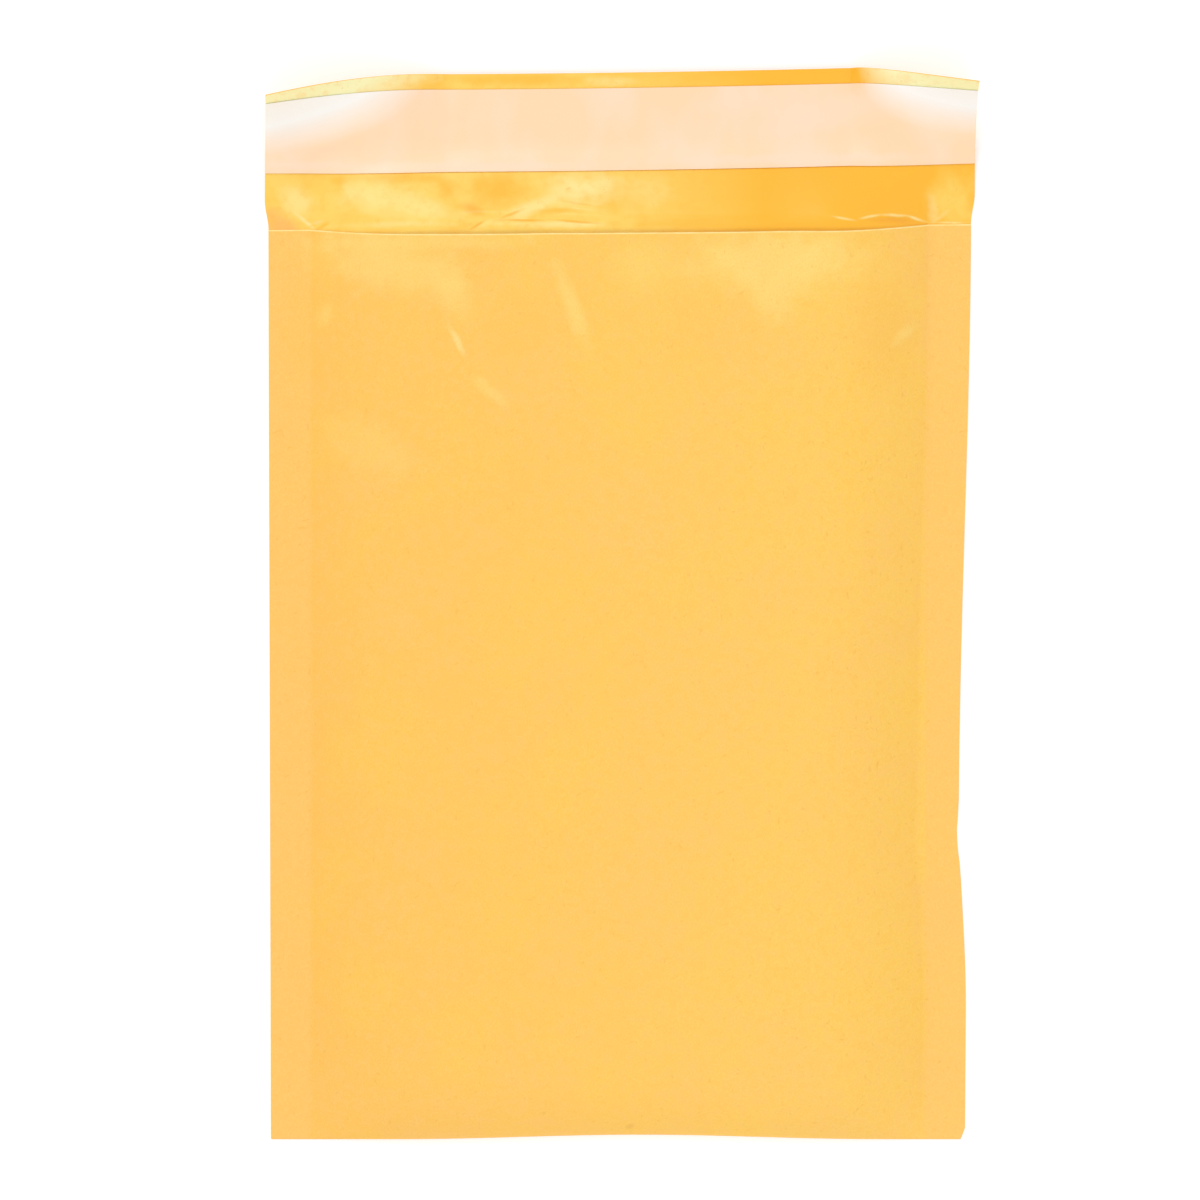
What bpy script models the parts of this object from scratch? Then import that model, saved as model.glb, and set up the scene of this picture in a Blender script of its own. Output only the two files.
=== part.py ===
"""Kraft bubble mailer, empty, lying on its back with its flap open.

One kraft sheet is folded across the bottom and glued along both sides into a pouch, and its back
panel runs on past the mouth as the flap. A folded sheet of bubble film lines the pouch. A peel-off
liner covers the adhesive strip on the flap. Metres, +Z up, +Y towards the flap. The origin lies on
the underside of the back panel, at the middle of the mailer.
"""
import math

import bmesh
import bpy

MM = 0.001

# Kraft sheet
PAPER = 0.35 * MM
BODY_WIDTH = 216.0 * MM
BODY_LENGTH = 284.0 * MM
SEAM_WIDTH = 12.8 * MM
CAVITY_HEIGHT = 12.4 * MM
SIDE_SHOULDER = 34.0 * MM
FOLD_SHOULDER = 22.0 * MM
SHOULDER_POWER = 0.65

# Outline as it has worn and set
FLARE_LEFT = 0.8 * MM
FLARE_RIGHT = 1.9 * MM
WAIST_DEPTH = 2.6 * MM
WAIST_FROM_FOLD = 105.0 * MM
WAIST_REACH_DOWN = 65.0 * MM
WAIST_REACH_UP = 175.0 * MM
NOTCH_DEPTH = 0.7 * MM
NOTCH_FROM_FOLD = 94.0 * MM
NOTCH_REACH = 12.0 * MM
CORNER_WEAR = 1.4 * MM
CORNER_WEAR_REACH = 3.5 * MM
FOLD_BOW = 1.4 * MM
FOLD_BOW_X = 7.0 * MM
FOLD_BOW_REACH = 75.0 * MM
MOUTH_SKEW = 0.9 * MM
MOUTH_LEAN = 3.2 * MM

# Flap
FLAP_GLOSS_ZONE = 17.3 * MM
LINER_WIDTH = 25.8 * MM
FLAP_MARGIN = 4.8 * MM
FLAP_FLARE = 1.2 * MM
FLAP_FLARE_REACH = 9.0 * MM
FLAP_SKEW = 0.6 * MM
FLAP_BOW = 1.0 * MM
FLAP_LIFT = math.radians(6.0)
CURL_STEPS = 40

LIFT_POWER = 1.4

# Curl of the flap's two upper corners: slope at the corner, how far the curl reaches in from the
# side edge, how it fades over that reach, how it grows along the flap, how far the corner leans in
CURL_LEFT = math.radians(68.7)
CURL_RIGHT = math.radians(66.5)
CURL_REACH_LEFT = 56.7 * MM
CURL_REACH_RIGHT = 37.7 * MM
CURL_FADE_LEFT = 0.85
CURL_FADE_RIGHT = 0.5
CURL_GROWTH_LEFT = 1.45
CURL_GROWTH_RIGHT = 1.75
LEAN_LEFT = 2.5 * MM
LEAN_RIGHT = 0.8 * MM

# Adhesive strip and its liner
GAP = 0.3 * MM
ADHESIVE_THICKNESS = 0.2 * MM
ADHESIVE_INSET = 2.7 * MM
LINER_THICKNESS = 0.15 * MM

# Bubble lining
FILM = 0.4 * MM
BUBBLE_PITCH = 15.0 * MM
BUBBLE_HEIGHT = 2.6 * MM
BUBBLE_SHOULDER = 2.6 * MM
BUBBLE_CLEARANCE = 0.4 * MM
BUBBLE_LEAST = 0.35 * MM
LINING_SIDE_CLEARANCE = 3.0 * MM
LINING_FOLD_CLEARANCE = 7.0 * MM
LINING_FOLD_DEPTH = 1.8 * MM
LINING_FOLD_WEB = 1.2 * MM
LINING_SETBACK = 4.0 * MM

# Grid lines, as shares of the seam's shoulder and of the fold's shoulder, and as counts
SHOULDER_COLUMN_SHARES = (0.2, 0.48, 0.72, 1.0)
FOLD_ROW_SHARES = (0.6, 1.0, 1.6)
MIDDLE_COLUMN_COUNT = 6
PLAIN_ROW_COUNT = 7
MOUTH_ROW_COUNT = 4
ADHESIVE_ROW_COUNT = 3
SHARP_ANGLE = math.radians(35.0)
SAME_PLACE = 0.1 * MM
MERGE_DISTANCE = 0.001 * MM
LEVEL_TOLERANCE = 0.0001 * MM

# Soft dents under the mouth: place at the mouth, place of the tip, length, half width, depth
DENTS = (
    (-67.0 * MM, -46.0 * MM, 40.0 * MM, 27.0 * MM, 1.1 * MM),
    (-20.0 * MM, -8.0 * MM, 37.0 * MM, 14.0 * MM, 0.7 * MM),
    (52.0 * MM, 49.0 * MM, 31.0 * MM, 18.0 * MM, 0.9 * MM),
)

FLAP_LENGTH = FLAP_GLOSS_ZONE + LINER_WIDTH + FLAP_MARGIN
HALF_WIDTH = BODY_WIDTH / 2
MIDDLE_FROM_FOLD = (BODY_LENGTH + FLAP_LENGTH) / 2
LINING_LEFT = SEAM_WIDTH + LINING_SIDE_CLEARANCE
LINING_RIGHT = BODY_WIDTH - LINING_LEFT
LINING_REACH = BODY_LENGTH - LINING_SETBACK - LINING_FOLD_CLEARANCE + FILM

# Finishes: colour and roughness
KRAFT = ((0.991, 0.591, 0.127, 1.0), 0.72)
BUBBLE_FILM = ((0.86, 0.89, 0.90, 1.0), 0.25)
HOT_MELT = ((0.93, 0.90, 0.80, 1.0), 0.3)
RELEASE_FILM = ((0.991, 0.730, 0.491, 1.0), 0.35)


def spread(start, end, count):
    """Evenly spaced values from start to end, both included."""
    return [start + (end - start) * k / count for k in range(count + 1)]


def side_columns():
    """Distances from a side edge to the grid lines of the seam and of the shoulder beside it."""
    first = SEAM_WIDTH + LINING_SIDE_CLEARANCE
    rest = SIDE_SHOULDER - LINING_SIDE_CLEARANCE
    return [0.0, SEAM_WIDTH, first] + [first + rest * share for share in SHOULDER_COLUMN_SHARES]


def column_offsets():
    """Grid lines across the mailer, as distances from its left edge."""
    left = side_columns()
    right = [BODY_WIDTH - offset for offset in reversed(left)]
    return left + spread(left[-1], right[0], MIDDLE_COLUMN_COUNT)[1:-1] + right


def body_rows():
    """Grid lines along the body, as distances from the bottom fold up to the mouth."""
    dents_from = BODY_LENGTH - max(length for _, _, length, _, _ in DENTS) - 2 * LINING_SETBACK
    turn = [1.8 * PAPER, LINING_FOLD_CLEARANCE / 2, LINING_FOLD_CLEARANCE]
    rise = [FOLD_SHOULDER * share for share in FOLD_ROW_SHARES]
    plain = spread(rise[-1], dents_from, PLAIN_ROW_COUNT)[1:]
    near_mouth = spread(dents_from, BODY_LENGTH - LINING_SETBACK, MOUTH_ROW_COUNT)[1:]
    return turn + rise + plain + near_mouth + [BODY_LENGTH]


def flap_rows():
    """Grid lines along the flap, as distances from the mouth crease up to its free edge."""
    liner_end = FLAP_GLOSS_ZONE + LINER_WIDTH
    adhesive = spread(FLAP_GLOSS_ZONE + ADHESIVE_INSET, liner_end - ADHESIVE_INSET, ADHESIVE_ROW_COUNT)
    near_crease = [0.0, FLAP_FLARE_REACH / 3, FLAP_FLARE_REACH]
    return near_crease + [FLAP_GLOSS_ZONE] + adhesive + [liner_end, FLAP_LENGTH]


COLUMNS = column_offsets()
BODY_ROWS = body_rows()
FLAP_ROWS = flap_rows()
LINER_FIRST_ROW = FLAP_ROWS.index(FLAP_GLOSS_ZONE)
LINER_LAST_ROW = len(FLAP_ROWS) - 2


def falloff(distance, reach):
    """One at no distance, easing to zero at the reach."""
    share = min(abs(distance) / reach, 1.0)
    return math.cos(share * math.pi / 2) ** 2


def left_edge(along):
    """Left edge of the body at a distance from the fold."""
    return -HALF_WIDTH - FLARE_LEFT * along / BODY_LENGTH


def right_edge(along):
    """Right edge of the body: it flares to the mouth, with a waist, a notch and a worn corner."""
    reach = WAIST_REACH_DOWN if along < WAIST_FROM_FOLD else WAIST_REACH_UP
    waist = WAIST_DEPTH * falloff(along - WAIST_FROM_FOLD, reach)
    notch = NOTCH_DEPTH * falloff(along - NOTCH_FROM_FOLD, NOTCH_REACH)
    worn = CORNER_WEAR * max(0.0, 1 - along / CORNER_WEAR_REACH)
    return HALF_WIDTH + FLARE_RIGHT * along / BODY_LENGTH - waist - notch - worn


def body_x(offset, along):
    """Place across the mailer of a grid line at a distance from the fold."""
    left = left_edge(along)
    return left + (right_edge(along) - left) * offset / BODY_WIDTH


def body_y(x, along):
    """Place along the mailer: the fold bows in a little and the mouth is cut a little askew."""
    share = along / BODY_LENGTH
    bow = FOLD_BOW * falloff(x - FOLD_BOW_X, FOLD_BOW_REACH) * (1 - share) ** 4
    skew = MOUTH_SKEW * x / HALF_WIDTH * share
    return along - MIDDLE_FROM_FOLD + bow + skew


def shoulder(distance, reach):
    """Rise of the front panel from a seam or the fold: steep at first, level at the reach."""
    share = min(max(distance / reach, 0.0), 1.0)
    return math.sin(share * math.pi / 2) ** SHOULDER_POWER


def dent(x, along, place):
    """Depth of one soft dent, a valley that runs in from the mouth and fades to its tip."""
    mouth_x, tip_x, length, half_width, depth = place
    share = (BODY_LENGTH - along) / length
    if share >= 1.0:
        return 0.0
    middle = mouth_x + (tip_x - mouth_x) * share
    return depth * (1 - share) * falloff(x - middle, half_width)


def cavity_height(offset, along):
    """Height of the pouch between its two panels, zero in the glued seams and at the fold."""
    inward = min(offset, BODY_WIDTH - offset) - SEAM_WIDTH
    if inward <= 0.0:
        return 0.0
    rise = shoulder(inward, SIDE_SHOULDER) * shoulder(along, FOLD_SHOULDER)
    x = body_x(offset, along)
    dents = sum(dent(x, along, place) for place in DENTS)
    return CAVITY_HEIGHT * rise - dents * shoulder(inward, SIDE_SHOULDER)


def back_point(offset, along, depth):
    """Point of the back panel, depth up from its underside."""
    x = body_x(offset, along)
    return (x, body_y(x, along), depth)


def front_point(offset, along, depth):
    """Point of the front panel, depth down from its upper side."""
    x = body_x(offset, along)
    height = cavity_height(offset, along)
    lean = MOUTH_LEAN * height / CAVITY_HEIGHT * (along / BODY_LENGTH) ** 3
    return (x, body_y(x, along) - lean, 2 * PAPER + height - depth)


def fold_point(offset, depth):
    """Point of the bottom fold, where the sheet turns over between its two panels."""
    x = body_x(offset, 0.0)
    return (x, body_y(x, 0.0) + depth, PAPER)


def curl_shares(offset):
    """How far into the left and the right corner's curl a grid line lies."""
    left = max(0.0, 1 - offset / CURL_REACH_LEFT) ** CURL_FADE_LEFT
    right = max(0.0, 1 - (BODY_WIDTH - offset) / CURL_REACH_RIGHT) ** CURL_FADE_RIGHT
    return left, right


def flap_angle(offset, share):
    """Slope of the flap at a share of its length; it grows towards the free edge and the corners."""
    left, right = curl_shares(offset)
    left_curl = CURL_LEFT * left * share ** CURL_GROWTH_LEFT
    right_curl = CURL_RIGHT * right * share ** CURL_GROWTH_RIGHT
    return FLAP_LIFT * share ** LIFT_POWER + left_curl + right_curl


def flap_run(offset, along):
    """How far the flap has gone forwards and up at a distance from the mouth crease."""
    step = along / CURL_STEPS
    forward = 0.0
    rise = 0.0
    for k in range(CURL_STEPS):
        angle = flap_angle(offset, (k + 0.5) * step / FLAP_LENGTH)
        forward += math.cos(angle) * step
        rise += math.sin(angle) * step
    return forward, rise


def flap_shift(offset, along):
    """How far the flap has moved sideways: it flares past the crease and its corners lean in."""
    share = along / FLAP_LENGTH
    flare = FLAP_FLARE * (1 - falloff(along, FLAP_FLARE_REACH)) * (2 * offset / BODY_WIDTH - 1)
    left, right = curl_shares(offset)
    return flare + (LEAN_LEFT * left - LEAN_RIGHT * right) * share ** 2


def flap_point(offset, along, depth):
    """Point of the flap, depth out from its underside; its two upper corners curl up."""
    forward, rise = flap_run(offset, along)
    angle = flap_angle(offset, along / FLAP_LENGTH)
    x = body_x(offset, BODY_LENGTH)
    across = x / HALF_WIDTH
    askew = (FLAP_SKEW * across + FLAP_BOW * across ** 2) * min(along / FLAP_GLOSS_ZONE, 1.0)
    y = body_y(x, BODY_LENGTH) + askew + forward - math.sin(angle) * depth
    return (x + flap_shift(offset, along), y, rise + math.cos(angle) * depth)


def new_material(name, finish):
    """Principled material of one colour and roughness."""
    colour, roughness = finish
    material = bpy.data.materials.new(name)
    material.use_nodes = True
    shader = material.node_tree.nodes["Principled BSDF"]
    shader.inputs["Base Color"].default_value = colour
    shader.inputs["Roughness"].default_value = roughness
    shader.inputs["Metallic"].default_value = 0.0
    return material


def new_object(name, bm, material):
    """Object with its own mesh and material, normals outward."""
    bmesh.ops.recalc_face_normals(bm, faces=bm.faces)
    if bm.calc_volume(signed=True) < 0:
        bmesh.ops.reverse_faces(bm, faces=bm.faces)
    mesh = bpy.data.meshes.new(name)
    bm.to_mesh(mesh)
    bm.free()
    mesh.materials.append(material)
    mesh.shade_smooth()
    mesh.set_sharp_from_angle(angle=SHARP_ANGLE)
    obj = bpy.data.objects.new(name, mesh)
    bpy.context.scene.collection.objects.link(obj)
    return obj


def flat_slab(bm, columns, rows):
    """Closed slab of columns by rows cells, one unit a cell and one unit thick."""
    bmesh.ops.create_grid(bm, x_segments=columns, y_segments=rows, size=0.5)
    bmesh.ops.translate(bm, verts=bm.verts, vec=(0.5, 0.5, 0.0))
    bmesh.ops.scale(bm, verts=bm.verts, vec=(columns, rows, 1.0))
    bmesh.ops.triangulate(bm, faces=bm.faces, quad_method="FIXED")
    sheet = bmesh.ops.extrude_face_region(bm, geom=list(bm.faces))
    top = [item for item in sheet["geom"] if isinstance(item, bmesh.types.BMVert)]
    bmesh.ops.translate(bm, verts=top, vec=(0.0, 0.0, 1.0))


def delete_glued_faces(bm, columns, body_start):
    """Open the inner skin where the two panels are glued to each other along the sides."""
    glued = []
    for face in bm.faces:
        centre = face.calc_center_median()
        in_seam = centre.x < 1.0 or centre.x > columns - 1.0
        if centre.z > 0.999 and in_seam and centre.y > body_start:
            glued.append(face)
    bmesh.ops.delete(bm, geom=glued, context="FACES")


def envelope_point(column, row, inside):
    """Place of one grid point of the flat kraft sheet once the sheet is folded.

    Rows run from the flap's free edge down the flap, down the back panel, round the bottom fold
    and up the front panel to the mouth.
    """
    offset = COLUMNS[column]
    depth = PAPER * inside
    last_flap = len(FLAP_ROWS) - 1
    fold_row = last_flap + len(BODY_ROWS)
    if row < last_flap:
        return flap_point(offset, FLAP_ROWS[last_flap - row], depth)
    if row < fold_row:
        return back_point(offset, BODY_ROWS[fold_row - 1 - row], depth)
    if row == fold_row:
        return fold_point(offset, depth)
    return front_point(offset, BODY_ROWS[row - fold_row - 1], depth)


def kraft_envelope():
    """The kraft sheet: folded at the bottom, glued down both sides, with its flap open."""
    bm = bmesh.new()
    columns = len(COLUMNS) - 1
    last_flap = len(FLAP_ROWS) - 1
    rows = last_flap + 2 * len(BODY_ROWS)
    flat_slab(bm, columns, rows)
    delete_glued_faces(bm, columns, last_flap)
    for vert in bm.verts:
        column, row, inside = (round(value) for value in vert.co)
        vert.co = envelope_point(column, row, inside)
    loose = [vert for vert in bm.verts if not vert.link_faces]
    bmesh.ops.delete(bm, geom=loose, context="VERTS")
    bmesh.ops.remove_doubles(bm, verts=bm.verts, dist=MERGE_DISTANCE)
    merge_flat_faces(bm, 0.0)
    merge_flat_faces(bm, PAPER)
    return new_object("kraft_envelope", bm, new_material("kraft_paper", KRAFT))


def merge_flat_faces(bm, level):
    """Join all faces that lie level at one height, such as those of the flat back panel."""
    level_faces = [
        face for face in bm.faces
        if all(abs(vert.co.z - level) < LEVEL_TOLERANCE for vert in face.verts)
    ]
    bmesh.ops.dissolve_faces(bm, faces=level_faces, use_verts=False)


def flap_strip(name, rows, lift, thickness, material):
    """Thin strip that lies along the flap, lifted off its underside by lift.

    Its rows run down from the flap's free edge, as the kraft sheet's do, so that the two bend along
    the same lines.
    """
    bm = bmesh.new()
    last = len(rows) - 1
    flat_slab(bm, len(COLUMNS) - 1, last)
    for vert in bm.verts:
        column, row, top = (round(value) for value in vert.co)
        vert.co = flap_point(COLUMNS[column], rows[last - row], lift + thickness * top)
    return new_object(name, bm, material)


def adhesive_strip():
    """Band of pressure-sensitive adhesive across the flap."""
    rows = FLAP_ROWS[LINER_FIRST_ROW + 1:LINER_LAST_ROW]
    hot_melt = new_material("hot_melt_adhesive", HOT_MELT)
    return flap_strip("adhesive_strip", rows, PAPER + GAP, ADHESIVE_THICKNESS, hot_melt)


def release_liner():
    """Peel-off liner over the adhesive, wider than the band so that it can be picked up."""
    rows = FLAP_ROWS[LINER_FIRST_ROW:LINER_LAST_ROW + 1]
    film = new_material("release_film", RELEASE_FILM)
    lift = PAPER + GAP + ADHESIVE_THICKNESS + GAP
    return flap_strip("release_liner", rows, lift, LINER_THICKNESS, film)


def station(value, stations):
    """Position of a value among rising stations: the cell it lies in and the share of that cell."""
    cell = 0
    while cell < len(stations) - 2 and value > stations[cell + 1]:
        cell += 1
    return cell, (value - stations[cell]) / (stations[cell + 1] - stations[cell])


def panel_surface(point, offset, along):
    """Point on a panel's inner side as its facets have it, between the lines of its grid."""
    column, across = station(offset, COLUMNS)
    row, up = station(along, BODY_ROWS)
    place = [0.0, 0.0, 0.0]
    for i, across_weight in ((0, 1 - across), (1, across)):
        for j, up_weight in ((0, 1 - up), (1, up)):
            corner = point(COLUMNS[column + i], BODY_ROWS[row + j], PAPER)
            place = [value + across_weight * up_weight * part for value, part in zip(place, corner)]
    return place


def lining_point(offset, travel, depth):
    """Place of one point of the flat lining once it is folded inside the pouch.

    Travel is measured from the lining's fold, forwards on the front panel and backwards on the
    back panel. Depth is measured into the pouch from the side that touches the kraft.
    """
    if abs(travel) < FILM / 2:
        base = panel_surface(back_point, offset, LINING_FOLD_CLEARANCE)
        top = panel_surface(front_point, offset, LINING_FOLD_CLEARANCE)
        forward = LINING_FOLD_DEPTH - (LINING_FOLD_WEB if depth > 0 else 0.0)
        return (base[0], base[1] - forward, (base[2] + top[2]) / 2)
    along = LINING_FOLD_CLEARANCE + abs(travel) - FILM
    x, y, z = panel_surface(front_point if travel > 0 else back_point, offset, along)
    return (x, y, z - GAP - depth if travel > 0 else z + GAP + depth)


def bubble_height(offset, travel):
    """Height of a bubble: full where there is room, crushed flat near the seams and the fold."""
    along = LINING_FOLD_CLEARANCE + abs(travel)
    base = panel_surface(back_point, offset, along)
    top = panel_surface(front_point, offset, along)
    room = (top[2] - base[2] - BUBBLE_CLEARANCE) / 2 - GAP - FILM
    return min(BUBBLE_HEIGHT, max(room, BUBBLE_LEAST))


def lining_outer_side(bm):
    """Plain side of the film, on the same grid lines as the kraft that it touches."""
    across = [offset for offset in COLUMNS
              if LINING_LEFT - SAME_PLACE < offset < LINING_RIGHT + SAME_PLACE]
    along = [row - LINING_FOLD_CLEARANCE + FILM for row in BODY_ROWS
             if LINING_FOLD_CLEARANCE - SAME_PLACE < row < BODY_LENGTH - LINING_SETBACK + SAME_PLACE]
    travel = [-value for value in reversed(along)] + [0.0] + along
    made = bmesh.ops.create_grid(bm, x_segments=len(across) - 1, y_segments=len(travel) - 1, size=0.5)
    for vert in made["verts"]:
        column = round((vert.co.x + 0.5) * (len(across) - 1))
        row = round((vert.co.y + 0.5) * (len(travel) - 1))
        vert.co = (across[column], travel[row], 0.0)
    bmesh.ops.triangulate(bm, faces=bm.faces, quad_method="FIXED")


def bubble_counts():
    """How many bubbles lie across the lining, and how many rows of them up each panel."""
    cells = max(2, round((LINING_RIGHT - LINING_LEFT) / BUBBLE_PITCH))
    row_height = (LINING_RIGHT - LINING_LEFT) / cells * math.sqrt(3) / 2
    return cells, max(2, round(LINING_REACH / row_height))


def cell_grid(bm, cells, rows):
    """Grid of half cells whose inner lines run zigzag, and each point's column and line in it."""
    row_height = (LINING_REACH - FILM) / rows
    half = [FILM + row_height * k for k in range(rows + 1)]
    travel = [-value for value in reversed(half)] + [0.0] + half
    last = len(travel) - 1
    made = bmesh.ops.create_grid(bm, x_segments=2 * cells, y_segments=last, size=0.5)
    places = {}
    for vert in made["verts"]:
        column = round((vert.co.x + 0.5) * 2 * cells)
        line = round((vert.co.y + 0.5) * last)
        places[vert] = (column, line)
        straight = line in (0, last, rows, rows + 1, rows + 2)
        zigzag = row_height / 6 * (1 if (column + line) % 2 == 0 else -1)
        x = LINING_LEFT + (LINING_RIGHT - LINING_LEFT) * column / (2 * cells)
        vert.co = (x, travel[line] + (0.0 if straight else zigzag), FILM)
    return places


def lining_bubble_side(bm):
    """Bubble side of the film: six-sided cells in staggered rows, joined from pairs of half cells."""
    cells, rows = bubble_counts()
    places = cell_grid(bm, cells, rows)
    inside = []
    for edge in bm.edges:
        if edge.verts[0] not in places:
            continue
        (column, line), (other_column, other_line) = (places[vert] for vert in edge.verts)
        upright = column == other_column
        if upright and 0 < column < 2 * cells and (column + min(line, other_line)) % 2 == 1:
            inside.append(edge)
    bmesh.ops.dissolve_edges(bm, edges=inside, use_verts=False)


def bubble_lining():
    """The bubble film: one sheet folded at the bottom, its bubbles facing into the pouch."""
    bm = bmesh.new()
    lining_outer_side(bm)
    outer_faces = set(bm.faces)
    lining_bubble_side(bm)
    cells = [face for face in bm.faces if face not in outer_faces]
    rims = [edge for edge in bm.edges if edge.is_boundary]
    bmesh.ops.bridge_loops(bm, edges=rims)
    domes = [face for face in cells if abs(face.calc_center_median().y) > 1.5 * FILM]
    bmesh.ops.inset_individual(bm, faces=domes, thickness=BUBBLE_SHOULDER, depth=0.0, use_even_offset=True)
    tops = {vert for face in domes for vert in face.verts}
    for vert in bm.verts:
        offset, travel, depth = vert.co
        if vert in tops:
            depth += bubble_height(offset, travel)
        vert.co = lining_point(offset, travel, depth)
    merge_flat_faces(bm, PAPER + GAP)
    return new_object("bubble_lining", bm, new_material("bubble_film", BUBBLE_FILM))


def clear_scene():
    """Start from an empty scene."""
    for obj in list(bpy.data.objects):
        bpy.data.objects.remove(obj, do_unlink=True)


def main():
    """Build the mailer's four pieces."""
    clear_scene()
    kraft_envelope()
    bubble_lining()
    adhesive_strip()
    release_liner()


main()
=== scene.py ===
# %% [markdown]
# # An empty kraft bubble mailer
# The mailer lies on its back with its flap open and its two upper corners curled up. The packed
# model gives the frame: its size, its place and its four pieces. This script gives those pieces
# their fine shape and their finish. It starts by loading the frame.

# %% Load the frame
import math
from functools import lru_cache

import bmesh
import bpy
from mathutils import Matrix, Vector


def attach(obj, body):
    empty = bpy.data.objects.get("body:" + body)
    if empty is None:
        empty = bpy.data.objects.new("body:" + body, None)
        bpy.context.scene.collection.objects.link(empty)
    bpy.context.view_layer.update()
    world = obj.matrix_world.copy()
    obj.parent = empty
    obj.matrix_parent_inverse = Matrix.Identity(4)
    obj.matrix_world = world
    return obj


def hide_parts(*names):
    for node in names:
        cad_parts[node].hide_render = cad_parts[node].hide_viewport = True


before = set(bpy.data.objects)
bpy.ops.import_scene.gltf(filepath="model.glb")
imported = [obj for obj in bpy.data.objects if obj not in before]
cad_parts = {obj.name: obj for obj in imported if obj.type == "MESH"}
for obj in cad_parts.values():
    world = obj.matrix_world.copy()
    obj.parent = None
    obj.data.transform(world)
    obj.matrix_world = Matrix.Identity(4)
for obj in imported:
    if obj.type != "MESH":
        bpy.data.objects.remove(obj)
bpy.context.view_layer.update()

MM = 0.001

# %% [markdown]
# ## The camera
# The mailer is seen from straight above. A long lens a metre away keeps the perspective slight, so
# the curled corners spread outwards only a little. The lens is worked out from the width of floor
# that the picture covers.

# %% Camera
VIEW_HEIGHT = 1.0
VIEW_WIDTH = 0.3738
VIEW_CENTRE = (-0.0056, 0.00195)
PICTURE_SIDE = 1200
SENSOR_MM = 36.0

scene = bpy.context.scene


def add_object(name, data):
    """A new object in the scene."""
    item = bpy.data.objects.new(name, data)
    scene.collection.objects.link(item)
    return item


camera_data = bpy.data.cameras.new("overhead_camera")
camera_data.sensor_width = SENSOR_MM
camera_data.lens = SENSOR_MM * VIEW_HEIGHT / VIEW_WIDTH
camera_data.clip_start = 0.05
camera = add_object("overhead_camera", camera_data)
camera.location = (*VIEW_CENTRE, VIEW_HEIGHT)
scene.camera = camera
print("lens in mm:", round(camera_data.lens, 1))

# %% [markdown]
# ## Tools for materials
# Each material below is a Principled shader whose colour is built up in layers: a base colour, then
# one tint after another, each let through by a mask. These small helpers add one node each, so a
# material reads as a list of its layers. An input takes either another node's socket or a value.

# %% Node helpers
def feed(tree, socket, value):
    """Gives an input a socket to read, or a plain value."""
    if isinstance(value, bpy.types.NodeSocket):
        tree.links.new(value, socket)
    else:
        socket.default_value = value


def add_node(tree, kind, given, **settings):
    """A shader node with its settings and what its inputs are given."""
    node = tree.nodes.new("ShaderNode" + kind)
    for label, value in settings.items():
        setattr(node, label, value)
    for place, value in given.items():
        feed(tree, node.inputs[place], value)
    return node


def add_math(tree, operation, *values):
    """A Math node."""
    return add_node(tree, "Math", dict(enumerate(values)), operation=operation).outputs[0]


def add_range(tree, value, low, high, to_low=0.0, to_high=1.0, **settings):
    """A Map Range node from one span of values to another."""
    spans = {"From Min": low, "From Max": high, "To Min": to_low, "To Max": to_high}
    return add_node(tree, "MapRange", {"Value": value, **spans}, **settings).outputs["Result"]


def add_noise(tree, vector, scale, detail=3.0, output="Fac"):
    """A Noise texture that reads a vector."""
    given = {"Vector": vector, "Scale": scale, "Detail": detail}
    return add_node(tree, "TexNoise", given).outputs[output]


def add_mapping(tree, vector, stretch, turn=0.0):
    """A Mapping node that stretches a pattern and then turns it about Z."""
    given = {"Vector": vector, "Rotation": (0.0, 0.0, turn), "Scale": stretch}
    return add_node(tree, "Mapping", given, vector_type="TEXTURE").outputs["Vector"]


def add_axes(tree, vector):
    """The X, Y and Z of a vector."""
    return add_node(tree, "SeparateXYZ", {"Vector": vector}).outputs


def add_tint(tree, mask, base, tint):
    """Mixes a base colour towards a tint by a mask."""
    node = add_node(tree, "Mix", {"Factor": mask}, data_type="RGBA")
    colours = [socket for socket in node.inputs if socket.type == "RGBA"]
    for socket, value in zip(colours, (base, tint)):
        feed(tree, socket, value)
    return next(socket for socket in node.outputs if socket.type == "RGBA")


def add_bump(tree, finish, height, distance, strength=1.0, below=None):
    """A Bump node into the finish's normal, over an earlier one if there is one."""
    given = {"Height": height, "Distance": distance, "Strength": strength}
    if below is not None:
        given["Normal"] = below
    normal = add_node(tree, "Bump", given).outputs["Normal"]
    feed(tree, finish["Normal"], normal)
    return normal


def new_material(name, **values):
    """A Principled material with its plain values, its tree and the inputs of its shader."""
    material = bpy.data.materials.new(name)
    material.use_nodes = True
    tree = material.node_tree
    finish = tree.nodes["Principled BSDF"].inputs
    for label, value in values.items():
        feed(tree, finish[label.replace("_", " ")], value)
    return material, tree, finish


def object_place(tree):
    """The place on the piece itself, in metres."""
    return add_node(tree, "TexCoord", {}).outputs["Object"]


# %% [markdown]
# ## Light
# Paper shows its colour best in soft, even light, so most of the light comes from a plain pale
# world. Two large soft lamps add a little direction: one beyond the flap shapes the body, and one
# near the fold lights the curled corners and gives the film something to mirror. Light Path lets
# the camera and mirror rays see a white world without putting more light on the mailer.

# %% World and lamps
WHITE = (1.0, 1.0, 1.0, 1.0)
WORLD_LIGHT = 0.785
LAMP_SIDE = 0.6
LAMPS = (
    ("lamp_beyond_flap", (-0.40, 1.00, 1.00), (0.0, 0.05, 0.0), 4.4),
    ("lamp_near_fold", (0.10, -0.95, 1.15), (0.0, 0.12, 0.0), 3.6),
)


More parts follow.
